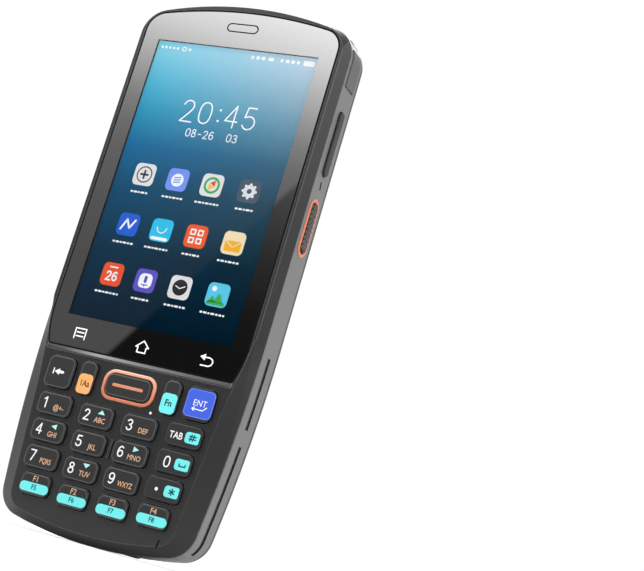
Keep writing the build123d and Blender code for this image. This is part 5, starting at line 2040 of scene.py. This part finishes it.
# ---- studio
@dataclass
class Studio:
    """Pale floor and room, soft lights, a card seen in gloss, and the camera."""

    floor_radius: float = 6.0
    floor_tones: Spot = (0.84, 0.9)
    melt_from: float = 0.4
    melt_to: float = 2.0
    melt_glow: float = 0.14
    room_colour: Colour = (0.99, 0.99, 1.0)
    room_glow: float = 1.02
    lit_middle: Place = (0.0, 0.0, 0.09)
    softboxes: tuple[tuple[str, Place, float, float], ...] = (
        ("key_softbox", (-0.7, -0.6, 0.9), 0.7, 6.0),
        ("fill_softbox", (0.9, -0.5, 0.4), 0.6, 3.0),
        ("rear_softbox", (-0.3, 0.9, 0.7), 0.7, 6.0))
    azimuth: float = 24.01
    elevation: float = -12.48
    roll: float = 16.14
    distance: float = 389.02 * MM
    focal_pixels: float = 1394.63
    image_width: float = 644.0
    sensor: float = 36.0
    aim_height: float = 102.0 * MM
    offset_right: float = 35.94 * MM
    offset_up: float = -27.74 * MM
    card_direction: Place = (-0.48905, -0.83306, 0.25855)
    card_distance: float = 0.6
    card_height: float = 0.103
    card_size: Spot = (0.24, 0.36)
    card_reach: float = 0.14
    card_base: float = 0.06
    card_power: float = 10.4
    edge_slope: float = 0.588
    edge_at: float = -0.0568
    edge_soft: float = 0.002
    card_stops: tuple[Spot, ...] = (
        (0.1, 0.003), (0.23, 0.006), (0.38, 0.021), (0.53, 0.05), (0.6, 0.08), (0.67, 0.14),
        (0.74, 0.25), (0.81, 0.38), (0.88, 0.55), (1.0, 0.78))

    def build(self) -> None:
        """Build the floor, the lights, the card and the camera."""
        self.floor()
        self.lights()
        self.reflector()
        self.camera()

    def floor(self) -> None:
        """Wide pale floor that melts into the background."""
        deselect()
        bpy.ops.mesh.primitive_circle_add(vertices=96, radius=self.floor_radius,
                                          fill_type="NGON")
        obj = bpy.context.object
        obj.name = "studio_floor"
        material, tree, shader = new_material("pale_floor")
        noise = tree.noise(Scale=6.0, Detail=2.0)
        dark, ledge_glint = self.floor_tones
        tree.wire(tree.ramp(noise.outputs["Fac"], [(0.0, grey(dark)), (1.0, grey(ledge_glint))]),
                  shader.inputs["Base Color"])
        shader.inputs["Roughness"].default_value = 0.9
        place = tree.add("TexCoord")
        away = tree.add("VectorMath", operation="LENGTH")
        tree.wire(place.outputs["Object"], away.inputs[0])
        melt = tree.share(away.outputs["Value"], self.melt_from, self.melt_to)
        tree.wire(tree.ramp(melt, [(0.0, NO_COLOUR), (1.0, grey(self.melt_glow))]),
                  shader.inputs["Emission Color"])
        shader.inputs["Emission Strength"].default_value = 1.0
        obj.data.materials.append(material)
        world = bpy.data.worlds.new("pale_room")
        bpy.context.scene.world = world
        world.use_nodes = True
        background = world.node_tree.nodes["Background"]
        background.inputs["Color"].default_value = (*self.room_colour, 1.0)
        background.inputs["Strength"].default_value = self.room_glow

    def softbox(self, name: str, place: Place, size: float, power: float) -> None:
        """A square soft light that points at the terminal's middle.

        Args:
            name: the light's name.
            place: where it hangs.
            size: its edge in metres.
            power: its power in watts.
        """
        data = bpy.data.lights.new(name, "AREA")
        data.size = size
        data.energy = power
        obj = bpy.data.objects.new(name, data)
        bpy.context.scene.collection.objects.link(obj)
        obj.location = place
        direction = Vector(self.lit_middle) - Vector(place)
        obj.rotation_euler = direction.to_track_quat("-Z", "Y").to_euler()
        obj.visible_camera = False

    def lights(self) -> None:
        """Key, fill and rear softboxes."""
        for name, place, size, power in self.softboxes:
            self.softbox(name, place, size, power)

    def reflector(self) -> None:
        """Card that is seen only in gloss: bright at its top, black at its bottom."""
        away = Vector(self.card_direction).normalized()
        across = Vector((0, 0, 1)).cross(-away).normalized()
        up = (-away).cross(across)
        middle = Vector((0.0, LEVELS.glass, self.card_height)) + away * self.card_distance
        deselect()
        bpy.ops.mesh.primitive_plane_add(size=1.0)
        card = bpy.context.object
        card.name = "gradient_card"
        turn = Matrix((across, up, across.cross(up))).transposed().to_4x4()
        card.matrix_world = (Matrix.Translation(middle) @ turn
                             @ Matrix.Diagonal((*self.card_size, 1.0, 1.0)))
        bpy.ops.object.transform_apply(location=True, rotation=True, scale=True)
        card.data.materials.append(self.card_glow(across, up, middle))
        card.visible_camera = False
        card.visible_diffuse = False
        card.visible_shadow = False
        card.visible_transmission = False

    def card_glow(self, across: Vector, up: Vector, middle: Vector) -> Material:
        """Glow that grows towards the card's top, with a little more beyond a slanting edge.

        Args:
            across: the card's sideways direction.
            up: its upward direction.
            middle: its middle.

        Returns:
            The glowing material.
        """
        material = bpy.data.materials.new("gradient_card")
        material.use_nodes = True
        material.node_tree.nodes.clear()
        tree = Tree(material.node_tree)
        place = tree.add("TexCoord")
        offset = tree.add("VectorMath", operation="SUBTRACT")
        tree.wire(place.outputs["Object"], offset.inputs[0])
        offset.inputs[1].default_value = middle
        distances = []
        for axis in (across, up):
            product = tree.add("VectorMath", operation="DOT_PRODUCT")
            tree.wire(offset.outputs["Vector"], product.inputs[0])
            product.inputs[1].default_value = axis
            distances.append(product.outputs["Value"])
        side, rise = distances
        height = tree.share(rise, -self.card_reach, self.card_reach)
        glow = tree.ramp(height, [(stop, grey(value)) for stop, value in self.card_stops])
        edge = tree.maths("ADD", side, tree.maths("MULTIPLY", rise, self.edge_slope))
        beyond = tree.share(edge, self.edge_at - self.edge_soft, self.edge_at + self.edge_soft)
        base = tree.maths("MULTIPLY", beyond, self.card_base)
        total = tree.maths("MULTIPLY", tree.maths("ADD", glow, base), self.card_power)
        emission = tree.add("Emission")
        tree.wire(total, emission.inputs["Strength"])
        tree.wire(emission.outputs["Emission"], tree.add("OutputMaterial").inputs["Surface"])
        return material

    def camera(self) -> None:
        """Camera turned to the terminal from the front right and below."""
        az, el, roll = (radians(v) for v in (self.azimuth, self.elevation, self.roll))
        away = Vector((sin(az) * cos(el), -cos(az) * cos(el), sin(el)))
        level_right = (-away).cross(Vector((0, 0, 1))).normalized()
        level_up = level_right.cross(-away)
        right = cos(roll) * level_right + sin(roll) * level_up
        up = -sin(roll) * level_right + cos(roll) * level_up
        target = Vector((0.0, LEVELS.glass, self.aim_height))
        place = target + self.offset_right * right + self.offset_up * up + self.distance * away
        data = bpy.data.cameras.new("main_camera")
        data.sensor_width = self.sensor
        data.sensor_fit = "HORIZONTAL"
        data.lens = self.focal_pixels * self.sensor / self.image_width
        data.clip_start = 0.01
        obj = bpy.data.objects.new("main_camera", data)
        bpy.context.scene.collection.objects.link(obj)
        turn = Matrix((right, up, away)).transposed()
        obj.matrix_world = Matrix.Translation(place) @ turn.to_4x4()
        bpy.context.scene.camera = obj
        bpy.context.scene.view_settings.view_transform = "Standard"


def main() -> None:
    """Build the finishes, the pieces and the studio in order."""
    logging.basicConfig(level=logging.INFO, format="%(name)s: %(message)s")
    finishes = Finishes(Effects())
    Casing(finishes).build()
    GlassBorder(finishes).build()
    Screen(finishes).build()
    Keypad(finishes).build()
    SideDetails(finishes).build()
    RearMarks(finishes).build()
    CameraModule(finishes).build()
    ContactDetails(finishes).build()
    Studio().build()


if __name__ == "__main__":
    main()
